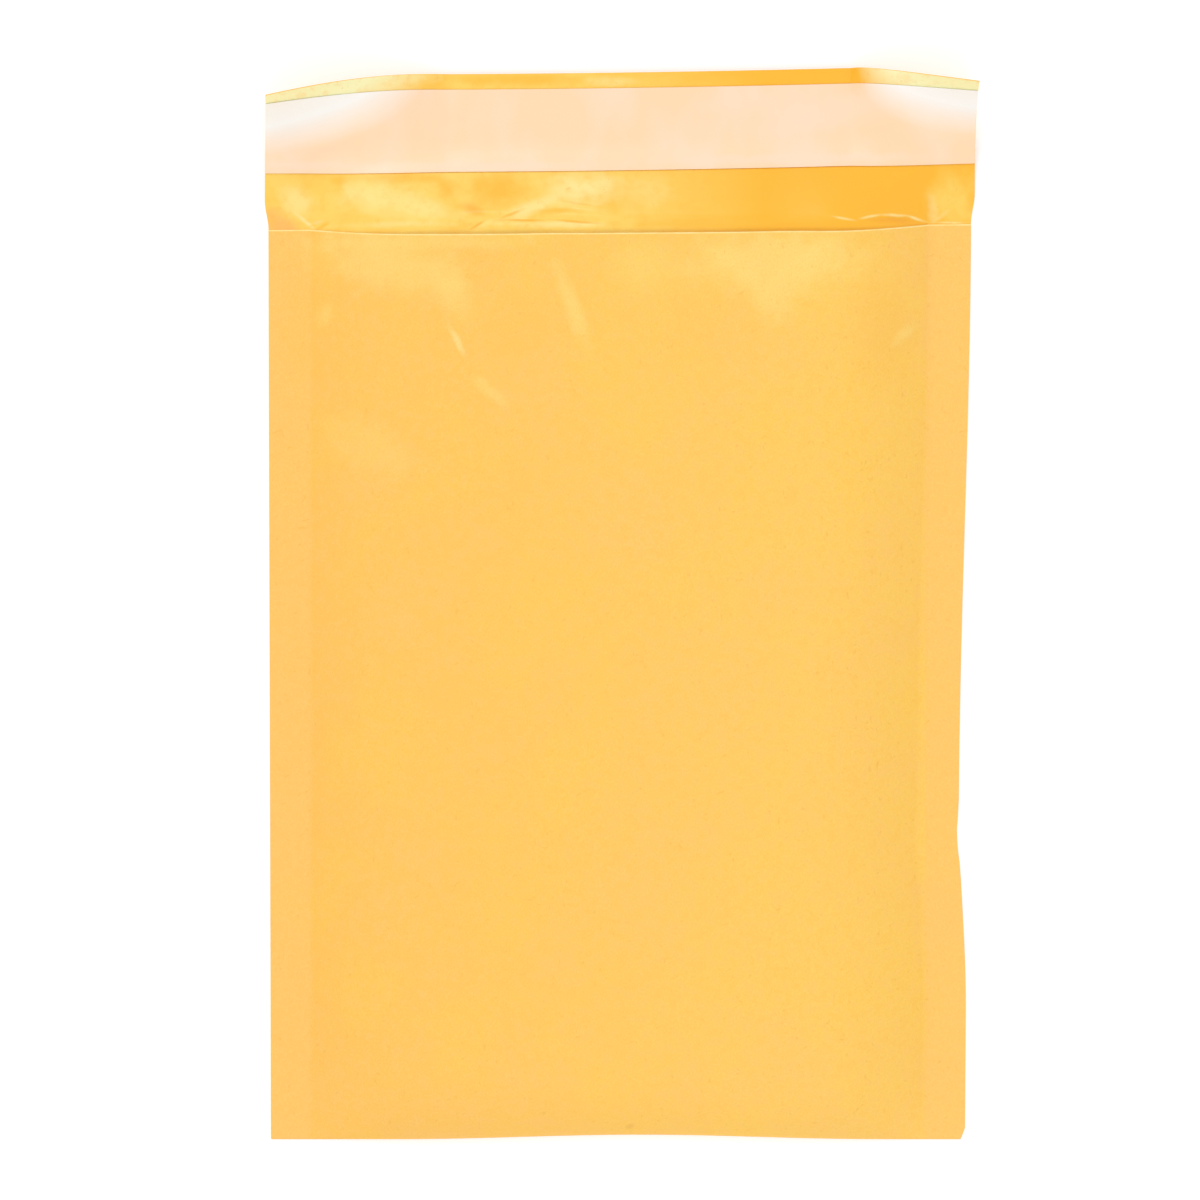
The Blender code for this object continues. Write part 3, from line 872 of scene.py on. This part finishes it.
def kraft_outside_material():
    """Golden kraft paper, the outside of the sheet."""
    material, tree, finish = new_material("golden_kraft", Specular_IOR_Level=0.30)
    vector = object_place(tree)
    fibres = place_group(tree, paper_fibres, vector, Fleck_Amount=0.45)
    colour = layered_kraft(tree, vector, fibres)
    # Painted highlights and painted shade on the front panel under the mouth.
    colour = add_patches(tree, vector, colour, FRONT_HEIGHT, FRONT_HIGHLIGHTS_AND_SHADE)
    colour = add_tones(tree, fibres, colour, GRAIN_TONES)
    colour = add_tint(tree, fibres["Flecks"], colour, FLECK_DARK_AND_CREASE_SHADE)
    feed(tree, finish["Base Color"], colour)
    roughness = add_range(tree, fibres["Mottle"], 0.3, 0.7, 0.56, 0.68)
    feed(tree, finish["Roughness"], roughness)
    cockle = place_group(tree, soft_buckling, vector, Scale=70.0)
    normal = add_bump(tree, finish, cockle["Height"], 0.0006, 0.35)
    add_bump(tree, finish, fibres["Height"], 0.00005, 0.6, below=normal)
    return material


kraft_outside = kraft_outside_material()
print("kraft layers:", len(kraft_outside.node_tree.nodes))

# %% [markdown]
# The cut edge along the mouth is paler than the sheet, because light comes through it. A narrow row
# of faces beside the edge gets a finish of its own.

# %% Cut edge
def cut_edge_material():
    """Pale cut edge of the kraft sheet."""
    material, tree, finish = new_material("kraft_cut_edge", Roughness=0.7)
    fibres = place_group(tree, paper_fibres, object_place(tree), Fleck_Amount=0.5)
    mottle = add_range(tree, fibres["Mottle"], 0.35, 0.65)
    feed(tree, finish["Base Color"], add_tint(tree, mottle, KRAFT_EDGE, KRAFT_PALE))
    add_bump(tree, finish, fibres["Height"], 0.00006, 0.6)
    return material


kraft_cut_edge = cut_edge_material()
print("cut edge colour:", KRAFT_EDGE[:3])

# %% [markdown]
# The inside of the sheet is faced with a thin film, so the flap's inner side is glossy and its
# colour deeper. Its left part is paler, a painted reflection, and the right keeps the deep colour.
# Pale soft patches are painted reflections of the lamps in the film, and thin pale lines are
# painted highlights on crease ridges. Thin dark lines and a few deeper patches in the creases, in a
# fold by the left seam and along the mouth are painted shade. The corner by the left seam is matte,
# and the free edge is painted pale where it curls up, a painted highlight.

# %% Kraft film side
FILM_LEFT = (0.990, 0.640, 0.115, 1.0)
FILM_RIGHT = (0.990, 0.490, 0.022, 1.0)
# Painted reflection of the lamps in the glossy film.
FILM_REFLECTION_PALE = (1.0, 0.760, 0.270, 1.0)
FILM_DEEP = (0.990, 0.495, 0.030, 1.0)
# Painted shade in creases and folds.
FILM_SHADE = (0.98, 0.440, 0.025, 1.0)
# Painted highlight on crease ridges.
FILM_RIDGE_HIGHLIGHT = (1.0, 0.760, 0.280, 1.0)
CORNER_MATTE = (0.960, 0.490, 0.110, 1.0)
# Painted highlight where the free edge curls up.
MARGIN_CURL_HIGHLIGHT = (1.0, 0.965, 0.540, 1.0)
FILM_PATCHES = (
    ((400, 178), (66, 9), 0.0, 0.80, FILM_DEEP),
    ((337, 179), (14, 8), 0.0, 0.70, FILM_DEEP),
    ((447, 188), (20, 16), -20.0, 0.70, FILM_DEEP),
    ((498, 192), (44, 26), 0.0, 0.90, FILM_DEEP),
    ((295, 198), (22, 28), 30.0, 0.70, FILM_REFLECTION_PALE),
    ((374, 197), (54, 22), 0.0, 0.45, FILM_REFLECTION_PALE),
    ((420, 207), (40, 16), -15.0, 0.40, FILM_REFLECTION_PALE),
    ((583, 190), (52, 24), 0.0, 1.00, FILM_REFLECTION_PALE),
    ((536, 208), (50, 11), 25.0, 0.80, FILM_REFLECTION_PALE),
    ((645, 192), (40, 24), 0.0, 0.35, FILM_REFLECTION_PALE),
    ((560, 227), (66, 5), 0.0, 0.70, FILM_REFLECTION_PALE),
    ((400, 226), (80, 5), 0.0, 0.45, FILM_REFLECTION_PALE),
    ((474, 211), (18, 8), -20.0, 0.85, FILM_SHADE),
    ((556, 213), (30, 5), 4.0, 0.70, FILM_DEEP),
    ((512, 216.5), (20, 2.2), 22.0, 0.70, FILM_SHADE),
    ((522, 222.5), (36, 1.8), 0.0, 0.90, FILM_SHADE),
    ((578, 224), (32, 1.8), -4.0, 0.90, FILM_SHADE),
    ((478, 227.5), (13, 2.2), 32.0, 0.80, FILM_SHADE),
    ((580, 205.5), (30, 2.0), -8.0, 0.50, FILM_SHADE),
    # Painted shade along the mouth, under its lip.
    ((700, 226), (110, 6), 0.0, 0.70, FILM_DEEP),
    ((892, 221), (38, 4.5), 1.0, 0.80, FILM_SHADE),
    ((955, 200), (34, 42), 0.0, 0.90, FILM_LEFT),
    ((934, 208), (8, 20), 0.0, 0.50, FILM_RIDGE_HIGHLIGHT),
    ((942, 215), (16, 4), 35.0, 0.40, FILM_RIDGE_HIGHLIGHT),
    ((892, 215.5), (20, 2.2), 0.0, 0.80, FILM_RIDGE_HIGHLIGHT),
    ((917, 218), (17, 2.2), -14.0, 0.90, FILM_RIDGE_HIGHLIGHT),
    ((867, 218.5), (16, 2.2), 13.0, 0.80, FILM_RIDGE_HIGHLIGHT),
    ((841, 220.5), (15, 2.0), -8.0, 0.70, FILM_RIDGE_HIGHLIGHT),
    ((952, 221), (24, 1.8), 0.0, 0.80, FILM_RIDGE_HIGHLIGHT),
    ((279, 224), (36, 19), -33.0, 1.00, CORNER_MATTE),
    ((303, 219), (18, 3), -40.0, 0.90, FILM_RIDGE_HIGHLIGHT),
    ((316, 221), (10, 2.5), 10.0, 0.60, FILM_RIDGE_HIGHLIGHT),
    # Painted shade in the small fold by the left seam.
    ((322, 225), (12, 3), 25.0, 0.60, FILM_DEEP),
    ((520, 78), (90, 9), 0.0, 0.70, FILM_DEEP),
    ((740, 74), (110, 8), 0.0, 0.40, FILM_DEEP),
    ((612, 80), (34, 8), 0.0, 0.60, FILM_REFLECTION_PALE),
    ((410, 80), (40, 8), 8.0, 0.55, FILM_REFLECTION_PALE),
)
FILM_TURN = 45.0 * MM
MARGIN_START = 146.0 * MM
MARGIN_FADE = 3.0 * MM
MARGIN_RISE = (4.5 * MM, 12.0 * MM)


def kraft_film_side_material():
    """Inner side of the sheet: paper under a thin glossy film."""
    material, tree, finish = new_material(
        "film_faced_kraft", Roughness=0.42, Coat_Weight=0.20, Coat_Roughness=0.20,
        Specular_IOR_Level=0.35,
    )
    vector = object_place(tree)
    fibres = place_group(tree, paper_fibres, vector, Fleck_Amount=0.35)
    axes = add_axes(tree, vector)
    # Paler towards the left: a painted reflection in the glossy film.
    colour = add_tint(tree, add_range(tree, axes["X"], 0.0, FILM_TURN), FILM_LEFT, FILM_RIGHT)
    colour = add_tones(tree, fibres, colour, (("Cloud", 0.48, 0.66, 0.5, FILM_DEEP),))
    # Patches: painted reflections, painted highlights on crease ridges and painted shade.
    colour = add_patches(tree, vector, colour, FLAP_HEIGHT, FILM_PATCHES)
    # The free edge is painted pale where it curls up: a painted highlight.
    raised = add_range(tree, axes["Z"], *MARGIN_RISE)
    margin = add_range(tree, axes["Y"], MARGIN_START, MARGIN_START + MARGIN_FADE)
    colour = add_tint(tree, add_math(tree, "MULTIPLY", raised, margin), colour, MARGIN_CURL_HIGHLIGHT)
    colour = add_tones(tree, fibres, colour, (("Mottle", 0.50, 0.68, 0.22, FILM_DEEP),))
    colour = add_tint(tree, fibres["Flecks"], colour, FLECK_DARK_AND_CREASE_SHADE)
    feed(tree, finish["Base Color"], colour)
    buckle = place_group(tree, soft_buckling, vector, Scale=70.0)
    normal = add_bump(tree, finish, buckle["Height"], 0.0012, 0.30)
    wrinkle = add_noise(tree, add_mapping(tree, vector, (2.8, 1.0, 1.0)), 420.0, 2.0)
    add_bump(tree, finish, wrinkle, 0.00016, 0.40, below=normal)
    return material


kraft_film_side = kraft_film_side_material()
print("film side layers:", len(kraft_film_side.node_tree.nodes))


# %% [markdown]
# ## Helpers for thin pieces
# Every piece here is a thin sheet, so all are made one way: a flat grid is extruded into a slab one
# unit thick, and then each point is moved to its folded place. The grid's lines are spaced by a
# list of stations, close together where the sheet bends most.

# %% Slab helpers
SHARP_ANGLE = math.radians(40.0)


def flat_slab(bm, columns, rows):
    """Closed slab of columns by rows cells, one unit a cell and one unit thick."""
    bmesh.ops.create_grid(bm, x_segments=columns, y_segments=rows, size=0.5)
    bmesh.ops.translate(bm, verts=bm.verts, vec=(0.5, 0.5, 0.0))
    bmesh.ops.scale(bm, verts=bm.verts, vec=(columns, rows, 1.0))
    sheet = bmesh.ops.extrude_face_region(bm, geom=list(bm.faces))
    top = [item for item in sheet["geom"] if isinstance(item, bmesh.types.BMVert)]
    bmesh.ops.translate(bm, verts=top, vec=(0.0, 0.0, 1.0))


def spread(start, end, count):
    """Evenly spaced values from start to end, both included."""
    return [start + (end - start) * k / count for k in range(count + 1)]


def finish_piece(name, bm, materials, node):
    """Makes the object, which rides on the body and stands in for a node of the frame."""
    bmesh.ops.recalc_face_normals(bm, faces=bm.faces)
    if bm.calc_volume(signed=True) < 0:
        bmesh.ops.reverse_faces(bm, faces=bm.faces)
    mesh = bpy.data.meshes.new(name)
    bm.to_mesh(mesh)
    bm.free()
    for material in materials:
        mesh.materials.append(material)
    mesh.shade_smooth()
    mesh.set_sharp_from_angle(angle=SHARP_ANGLE)
    piece = add_object(name, mesh)
    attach(piece, "root")
    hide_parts(node)
    print(name, "triangles:", sum(len(face.vertices) - 2 for face in mesh.polygons))


# %% [markdown]
# ## The kraft envelope
# The real one is a single sheet, so this is too. It is laid out flat with its outer side down. The
# inner faces that are glued to each other along the sides are taken out, every point is folded to
# its place, and the points that meet are merged. That is how the glued seams close. The rows are
# closest near the mouth, where the creases are.

# %% Stations of the envelope
SEAM_COLUMN_COUNT = 5
MIDDLE_COLUMN_COUNT = 198
PLAIN_ROW_COUNT = 44
MOUTH_ROW_COUNT = 44
MOUTH_ZONE = 60.0 * MM
EDGE_ROW = 0.45 * MM
GLOSS_ROW_COUNT = 26
UPPER_ROW_COUNT = 20


def envelope_columns():
    """Offsets across the sheet: each seam is a few columns and the rest is even."""
    seam = spread(0.0, SEAM_WIDTH, SEAM_COLUMN_COUNT)
    middle = spread(SEAM_WIDTH, BODY_WIDTH - SEAM_WIDTH, MIDDLE_COLUMN_COUNT)
    return seam + middle[1:-1] + [BODY_WIDTH - offset for offset in reversed(seam)]


def envelope_body_rows():
    """Distances from the fold to the mouth."""
    near_fold = [PAPER * 1.3, PAPER * 2.3, 1.5 * MM, 2.4 * MM, 3.6 * MM, 5.0 * MM]
    plain = spread(7.0 * MM, BODY_LENGTH - MOUTH_ZONE, PLAIN_ROW_COUNT)
    near_mouth = spread(BODY_LENGTH - MOUTH_ZONE, BODY_LENGTH - EDGE_ROW, MOUTH_ROW_COUNT)[1:]
    return near_fold + plain + near_mouth + [BODY_LENGTH]


def envelope_flap_rows():
    """Distances from the mouth crease to the flap's free edge."""
    gloss = spread(0.0, FLAP_GLOSS_ZONE, GLOSS_ROW_COUNT)
    return gloss + spread(FLAP_GLOSS_ZONE, FLAP_LENGTH, UPPER_ROW_COUNT)[1:]


# %% Build the envelope
OUTSIDE_SLOT = 0
FILM_SLOT = 1
EDGE_SLOT = 2
MERGE_DISTANCE = 0.001 * MM
UPPER_SIDE = 0.999


def open_glued_seams(bm, last_column, last_flap):
    """Takes out the inner faces along both sides, where the two panels are glued together."""
    glued = []
    for face in bm.faces:
        centre = face.calc_center_median()
        in_seam = centre.x < SEAM_COLUMN_COUNT or centre.x > last_column - SEAM_COLUMN_COUNT
        if centre.z > UPPER_SIDE and in_seam and centre.y > last_flap:
            glued.append(face)
    bmesh.ops.delete(bm, geom=glued, context="FACES")
    loose = [vert for vert in bm.verts if not vert.link_faces]
    bmesh.ops.delete(bm, geom=loose, context="VERTS")


def build_envelope():
    """The kraft sheet with its folds, seams, creases and curled flap."""
    columns = envelope_columns()
    body = envelope_body_rows()
    flap = envelope_flap_rows()
    last_flap = len(flap) - 1
    fold_row = last_flap + len(body)
    last_row = last_flap + 2 * len(body)
    bm = bmesh.new()
    flat_slab(bm, len(columns) - 1, last_row)
    for face in bm.faces:
        centre = face.calc_center_median()
        face.material_index = FILM_SLOT if centre.z > UPPER_SIDE else OUTSIDE_SLOT
        if centre.z < UPPER_SIDE and centre.y > last_row - 1:
            face.material_index = EDGE_SLOT
    open_glued_seams(bm, len(columns) - 1, last_flap)
    for vert in bm.verts:
        column, row, inside = (round(value) for value in vert.co)
        offset = columns[column]
        if row < last_flap:
            vert.co = flap_point(offset, flap[last_flap - row], PAPER * inside)
        elif row < fold_row:
            vert.co = back_point(offset, body[fold_row - 1 - row], PAPER * inside)
        elif row == fold_row:
            vert.co = fold_point(offset, PAPER * inside)
        else:
            vert.co = front_point(offset, body[row - fold_row - 1], PAPER * inside)
    bmesh.ops.remove_doubles(bm, verts=bm.verts, dist=MERGE_DISTANCE)
    finishes = (kraft_outside, kraft_film_side, kraft_cut_edge)
    finish_piece("kraft_sheet", bm, finishes, "kraft_envelope")


build_envelope()

# %% [markdown]
# ## Adhesive strip
# A band of hot-melt adhesive lies across the flap under its liner. It hardly shows, so a thin slab
# with a glossy, slightly uneven surface is enough.

# %% Strips on the flap
STRIP_ROW_COUNT = 22
STRIP_CLEARANCE = 0.06 * MM
ADHESIVE_FILM = 0.10 * MM
LINER_FILM = 0.12 * MM


def flap_strip(name, start, end, lift, thickness, material, node):
    """Thin strip along the flap, lifted off the flap's underside."""
    columns = envelope_columns()
    rows = spread(start, end, STRIP_ROW_COUNT)
    bm = bmesh.new()
    flat_slab(bm, len(columns) - 1, STRIP_ROW_COUNT)
    for vert in bm.verts:
        column, row, top = (round(value) for value in vert.co)
        vert.co = flap_point(columns[column], rows[row], lift + thickness * top)
    finish_piece(name, bm, (material,), node)


def adhesive_material():
    """Tacky, nearly clear hot-melt adhesive."""
    material, tree, finish = new_material("hot_melt", Roughness=0.22)
    flow = add_noise(tree, object_place(tree), 160.0, 3.0)
    clear = (0.90, 0.84, 0.68, 1.0)
    thick = (0.82, 0.74, 0.55, 1.0)
    colour = add_tint(tree, add_range(tree, flow, 0.4, 0.6), clear, thick)
    feed(tree, finish["Base Color"], colour)
    add_bump(tree, finish, flow, 0.0003, 0.5)
    return material


ADHESIVE_START = FLAP_GLOSS_ZONE + ADHESIVE_INSET
ADHESIVE_END = FLAP_GLOSS_ZONE + LINER_WIDTH - ADHESIVE_INSET
ADHESIVE_LIFT = PAPER + STRIP_CLEARANCE
flap_strip(
    "adhesive_band", ADHESIVE_START, ADHESIVE_END, ADHESIVE_LIFT, ADHESIVE_FILM,
    adhesive_material(), "adhesive_strip",
)

# %% [markdown]
# ## Release liner
# The liner is a thin milky film with a silky shine. The golden paper glows through it, which turns
# it peach. Where it curls up with the corners it is painted white, a painted highlight. Its lower
# edge has a paler, pinker band with no adhesive behind it. A plain colour with masks is used
# instead of real transparency: it renders without noise and looks the same from every side.

# %% Release liner
LINER_PEACH = (0.985, 0.692, 0.432, 1.0)
LINER_DEEP = (0.985, 0.680, 0.420, 1.0)
LINER_PINK = (0.985, 0.740, 0.560, 1.0)
# Painted highlight on the curled corners.
LINER_CURL_HIGHLIGHT = (0.995, 0.985, 0.960, 1.0)
LINER_PATCHES = (
    ((840, 110), (110, 26), 10.0, 0.55, LINER_PINK),
    ((740, 100), (60, 22), 0.0, 0.40, LINER_PINK),
    ((340, 142), (80, 20), 14.0, 0.50, LINER_DEEP),
    ((430, 120), (60, 26), 20.0, 0.35, LINER_DEEP),
    ((450, 166), (220, 9), 0.5, 0.50, LINER_PINK),
    ((800, 158), (200, 9), 1.0, 0.55, LINER_PINK),
    ((300, 164), (60, 6), 0.0, 0.50, LINER_PINK),
)
LINER_RISE = (4.8 * MM, 10.2 * MM)


def liner_material():
    """Milky release film over golden paper."""
    material, tree, finish = new_material(
        "release_film", Roughness=0.42, Coat_Weight=0.20, Coat_Roughness=0.25,
        Specular_IOR_Level=0.35,
    )
    vector = object_place(tree)
    wide = add_noise(tree, add_mapping(tree, vector, (1.0, 2.0, 1.0)), 60.0, 3.0)
    wide = add_range(tree, wide, 0.42, 0.62, 0.0, 0.6)
    colour = add_tint(tree, wide, LINER_PEACH, LINER_PINK)
    colour = add_patches(tree, vector, colour, FLAP_HEIGHT, LINER_PATCHES)
    # The curled corners are painted white: a painted highlight.
    raised = add_range(tree, add_axes(tree, vector)["Z"], *LINER_RISE)
    feed(tree, finish["Base Color"], add_tint(tree, raised, colour, LINER_CURL_HIGHLIGHT))
    buckle = place_group(tree, soft_buckling, vector, Scale=50.0)
    normal = add_bump(tree, finish, buckle["Height"], 0.0010, 0.25)
    fine = add_noise(tree, add_mapping(tree, vector, (1.0, 8.0, 1.0)), 300.0, 2.0)
    add_bump(tree, finish, fine, 0.00006, 0.3, below=normal)
    return material


LINER_LIFT = ADHESIVE_LIFT + ADHESIVE_FILM + STRIP_CLEARANCE
flap_strip(
    "peel_off_liner", FLAP_GLOSS_ZONE, FLAP_GLOSS_ZONE + LINER_WIDTH, LINER_LIFT, LINER_FILM,
    liner_material(), "release_liner",
)

# %% [markdown]
# ## Bubble lining
# The lining is one sheet of bubble film, folded at the bottom like the kraft, with its bubbles
# facing into the pouch. The whole sheet is one fine slab, and each point of its inner side is
# raised by the bubble that it lies in, so no seams show. The bubbles stand in staggered rows. They
# are crushed flat where the pouch is thin, beside the seams and the fold.

# %% Sizes of the bubble film
FILM = 0.4 * MM
BUBBLE_PITCH = 15.0 * MM
BUBBLE_HEIGHT = 2.6 * MM
BUBBLE_FOOT = 6.9 * MM
BUBBLE_CROWN = 3.4 * MM
BUBBLE_CLEARANCE = 0.25 * MM
LEAST_ROOM = 0.1 * MM
BUBBLE_LEAST = 0.35 * MM
LINING_SIDE_CLEARANCE = 5.0 * MM
LINING_FOLD_CLEARANCE = 7.0 * MM
LINING_FOLD_DEPTH = 1.8 * MM
LINING_FOLD_WEB = 1.2 * MM
LINING_SETBACK = 8.0 * MM
LINING_LEFT = SEAM_WIDTH + LINING_SIDE_CLEARANCE
LINING_RIGHT = BODY_WIDTH - LINING_LEFT
LINING_REACH = BODY_LENGTH - LINING_SETBACK - LINING_FOLD_CLEARANCE + FILM
LINING_COLUMN_COUNT = 120
LINING_ROW_COUNT = 170
BUBBLES_ACROSS = round((LINING_RIGHT - LINING_LEFT) / BUBBLE_PITCH)
BUBBLE_ROWS = round(LINING_REACH / (BUBBLE_PITCH * math.sqrt(3) / 2))
print("bubbles across and rows:", BUBBLES_ACROSS, BUBBLE_ROWS)


# %% Bubbles
def bubble_share(offset, travel):
    """Height of the bubble pattern at a point of the flat film, from zero to one."""
    pitch = (LINING_RIGHT - LINING_LEFT) / BUBBLES_ACROSS
    row_height = (LINING_REACH - FILM) / BUBBLE_ROWS
    row = math.floor((abs(travel) - FILM) / row_height)
    nearest = BUBBLE_PITCH
    for line in (row - 1, row, row + 1):
        if not 0 <= line < BUBBLE_ROWS:
            continue
        start = LINING_LEFT + (pitch / 2 if line % 2 == 0 else pitch)
        count = BUBBLES_ACROSS if line % 2 == 0 else BUBBLES_ACROSS - 1
        place = min(max(round((offset - start) / pitch), 0), count - 1)
        dx = offset - start - place * pitch
        dy = abs(travel) - FILM - (line + 0.5) * row_height
        nearest = min(nearest, math.hypot(dx, dy))
    share = min(max((BUBBLE_FOOT - nearest) / (BUBBLE_FOOT - BUBBLE_CROWN), 0.0), 1.0)
    return math.sin(share * math.pi / 2)


def pouch_room(offset, along):
    """Room for one side of the lining: half of what is clear between the two panels."""
    low = back_point(offset, along, PAPER)[2]
    high = front_point(offset, along, PAPER)[2]
    return max((high - low - BUBBLE_CLEARANCE) / 2, LEAST_ROOM)


def lining_point(offset, travel, inner):
    """Place of a point of the film: travel runs from its fold, forwards on the front panel."""
    if abs(travel) < FILM / 2:
        low = back_point(offset, LINING_FOLD_CLEARANCE, PAPER)
        high = front_point(offset, LINING_FOLD_CLEARANCE, PAPER)
        forward = LINING_FOLD_DEPTH - (LINING_FOLD_WEB if inner else 0.0)
        return (low[0], low[1] - forward, (low[2] + high[2]) / 2)
    along = LINING_FOLD_CLEARANCE + abs(travel) - FILM
    room = pouch_room(offset, along)
    squeeze = min(room / (GAP + FILM + BUBBLE_LEAST), 1.0)
    depth = GAP * squeeze
    if inner:
        bubble = min(BUBBLE_HEIGHT, max(room - GAP - FILM, BUBBLE_LEAST * squeeze))
        depth += FILM * squeeze + bubble_share(offset, travel) * bubble
    if travel > 0:
        x, y, z = front_point(offset, along, PAPER)
        return (x, y, z - depth)
    x, y, z = back_point(offset, along, PAPER)
    return (x, y, z + depth)


# %% [markdown]
# The film is clear, with a cool gloss and a faint haze. It lets the golden paper behind it show.
# Alpha gives that without the noise of real refraction.

# %% Bubble film finish
def bubble_film_material():
    """Clear glossy bubble film."""
    material, tree, finish = new_material("bubble_film")
    vector = object_place(tree)
    haze = add_noise(tree, vector, 180.0, 3.0)
    clear = (0.93, 0.94, 0.93, 1.0)
    milky = (0.84, 0.87, 0.88, 1.0)
    colour = add_tint(tree, add_range(tree, haze, 0.35, 0.65), clear, milky)
    feed(tree, finish["Base Color"], colour)
    feed(tree, finish["Alpha"], add_range(tree, haze, 0.3, 0.7, 0.42, 0.58))
    feed(tree, finish["Roughness"], add_range(tree, haze, 0.3, 0.7, 0.12, 0.24))
    add_bump(tree, finish, add_noise(tree, vector, 650.0, 2.0), 0.0002, 0.35)
    return material


# %% Build the lining
def build_lining():
    """The folded bubble film inside the pouch."""
    columns = spread(LINING_LEFT, LINING_RIGHT, LINING_COLUMN_COUNT)
    half = spread(FILM, LINING_REACH, LINING_ROW_COUNT)
    travel = [-value for value in reversed(half)] + [0.0] + half
    bm = bmesh.new()
    flat_slab(bm, LINING_COLUMN_COUNT, len(travel) - 1)
    for vert in bm.verts:
        column, row, inner = (round(value) for value in vert.co)
        vert.co = lining_point(columns[column], travel[row], inner)
    film = (bubble_film_material(),)
    finish_piece("bubble_sheet", bm, film, "bubble_lining")


build_lining()
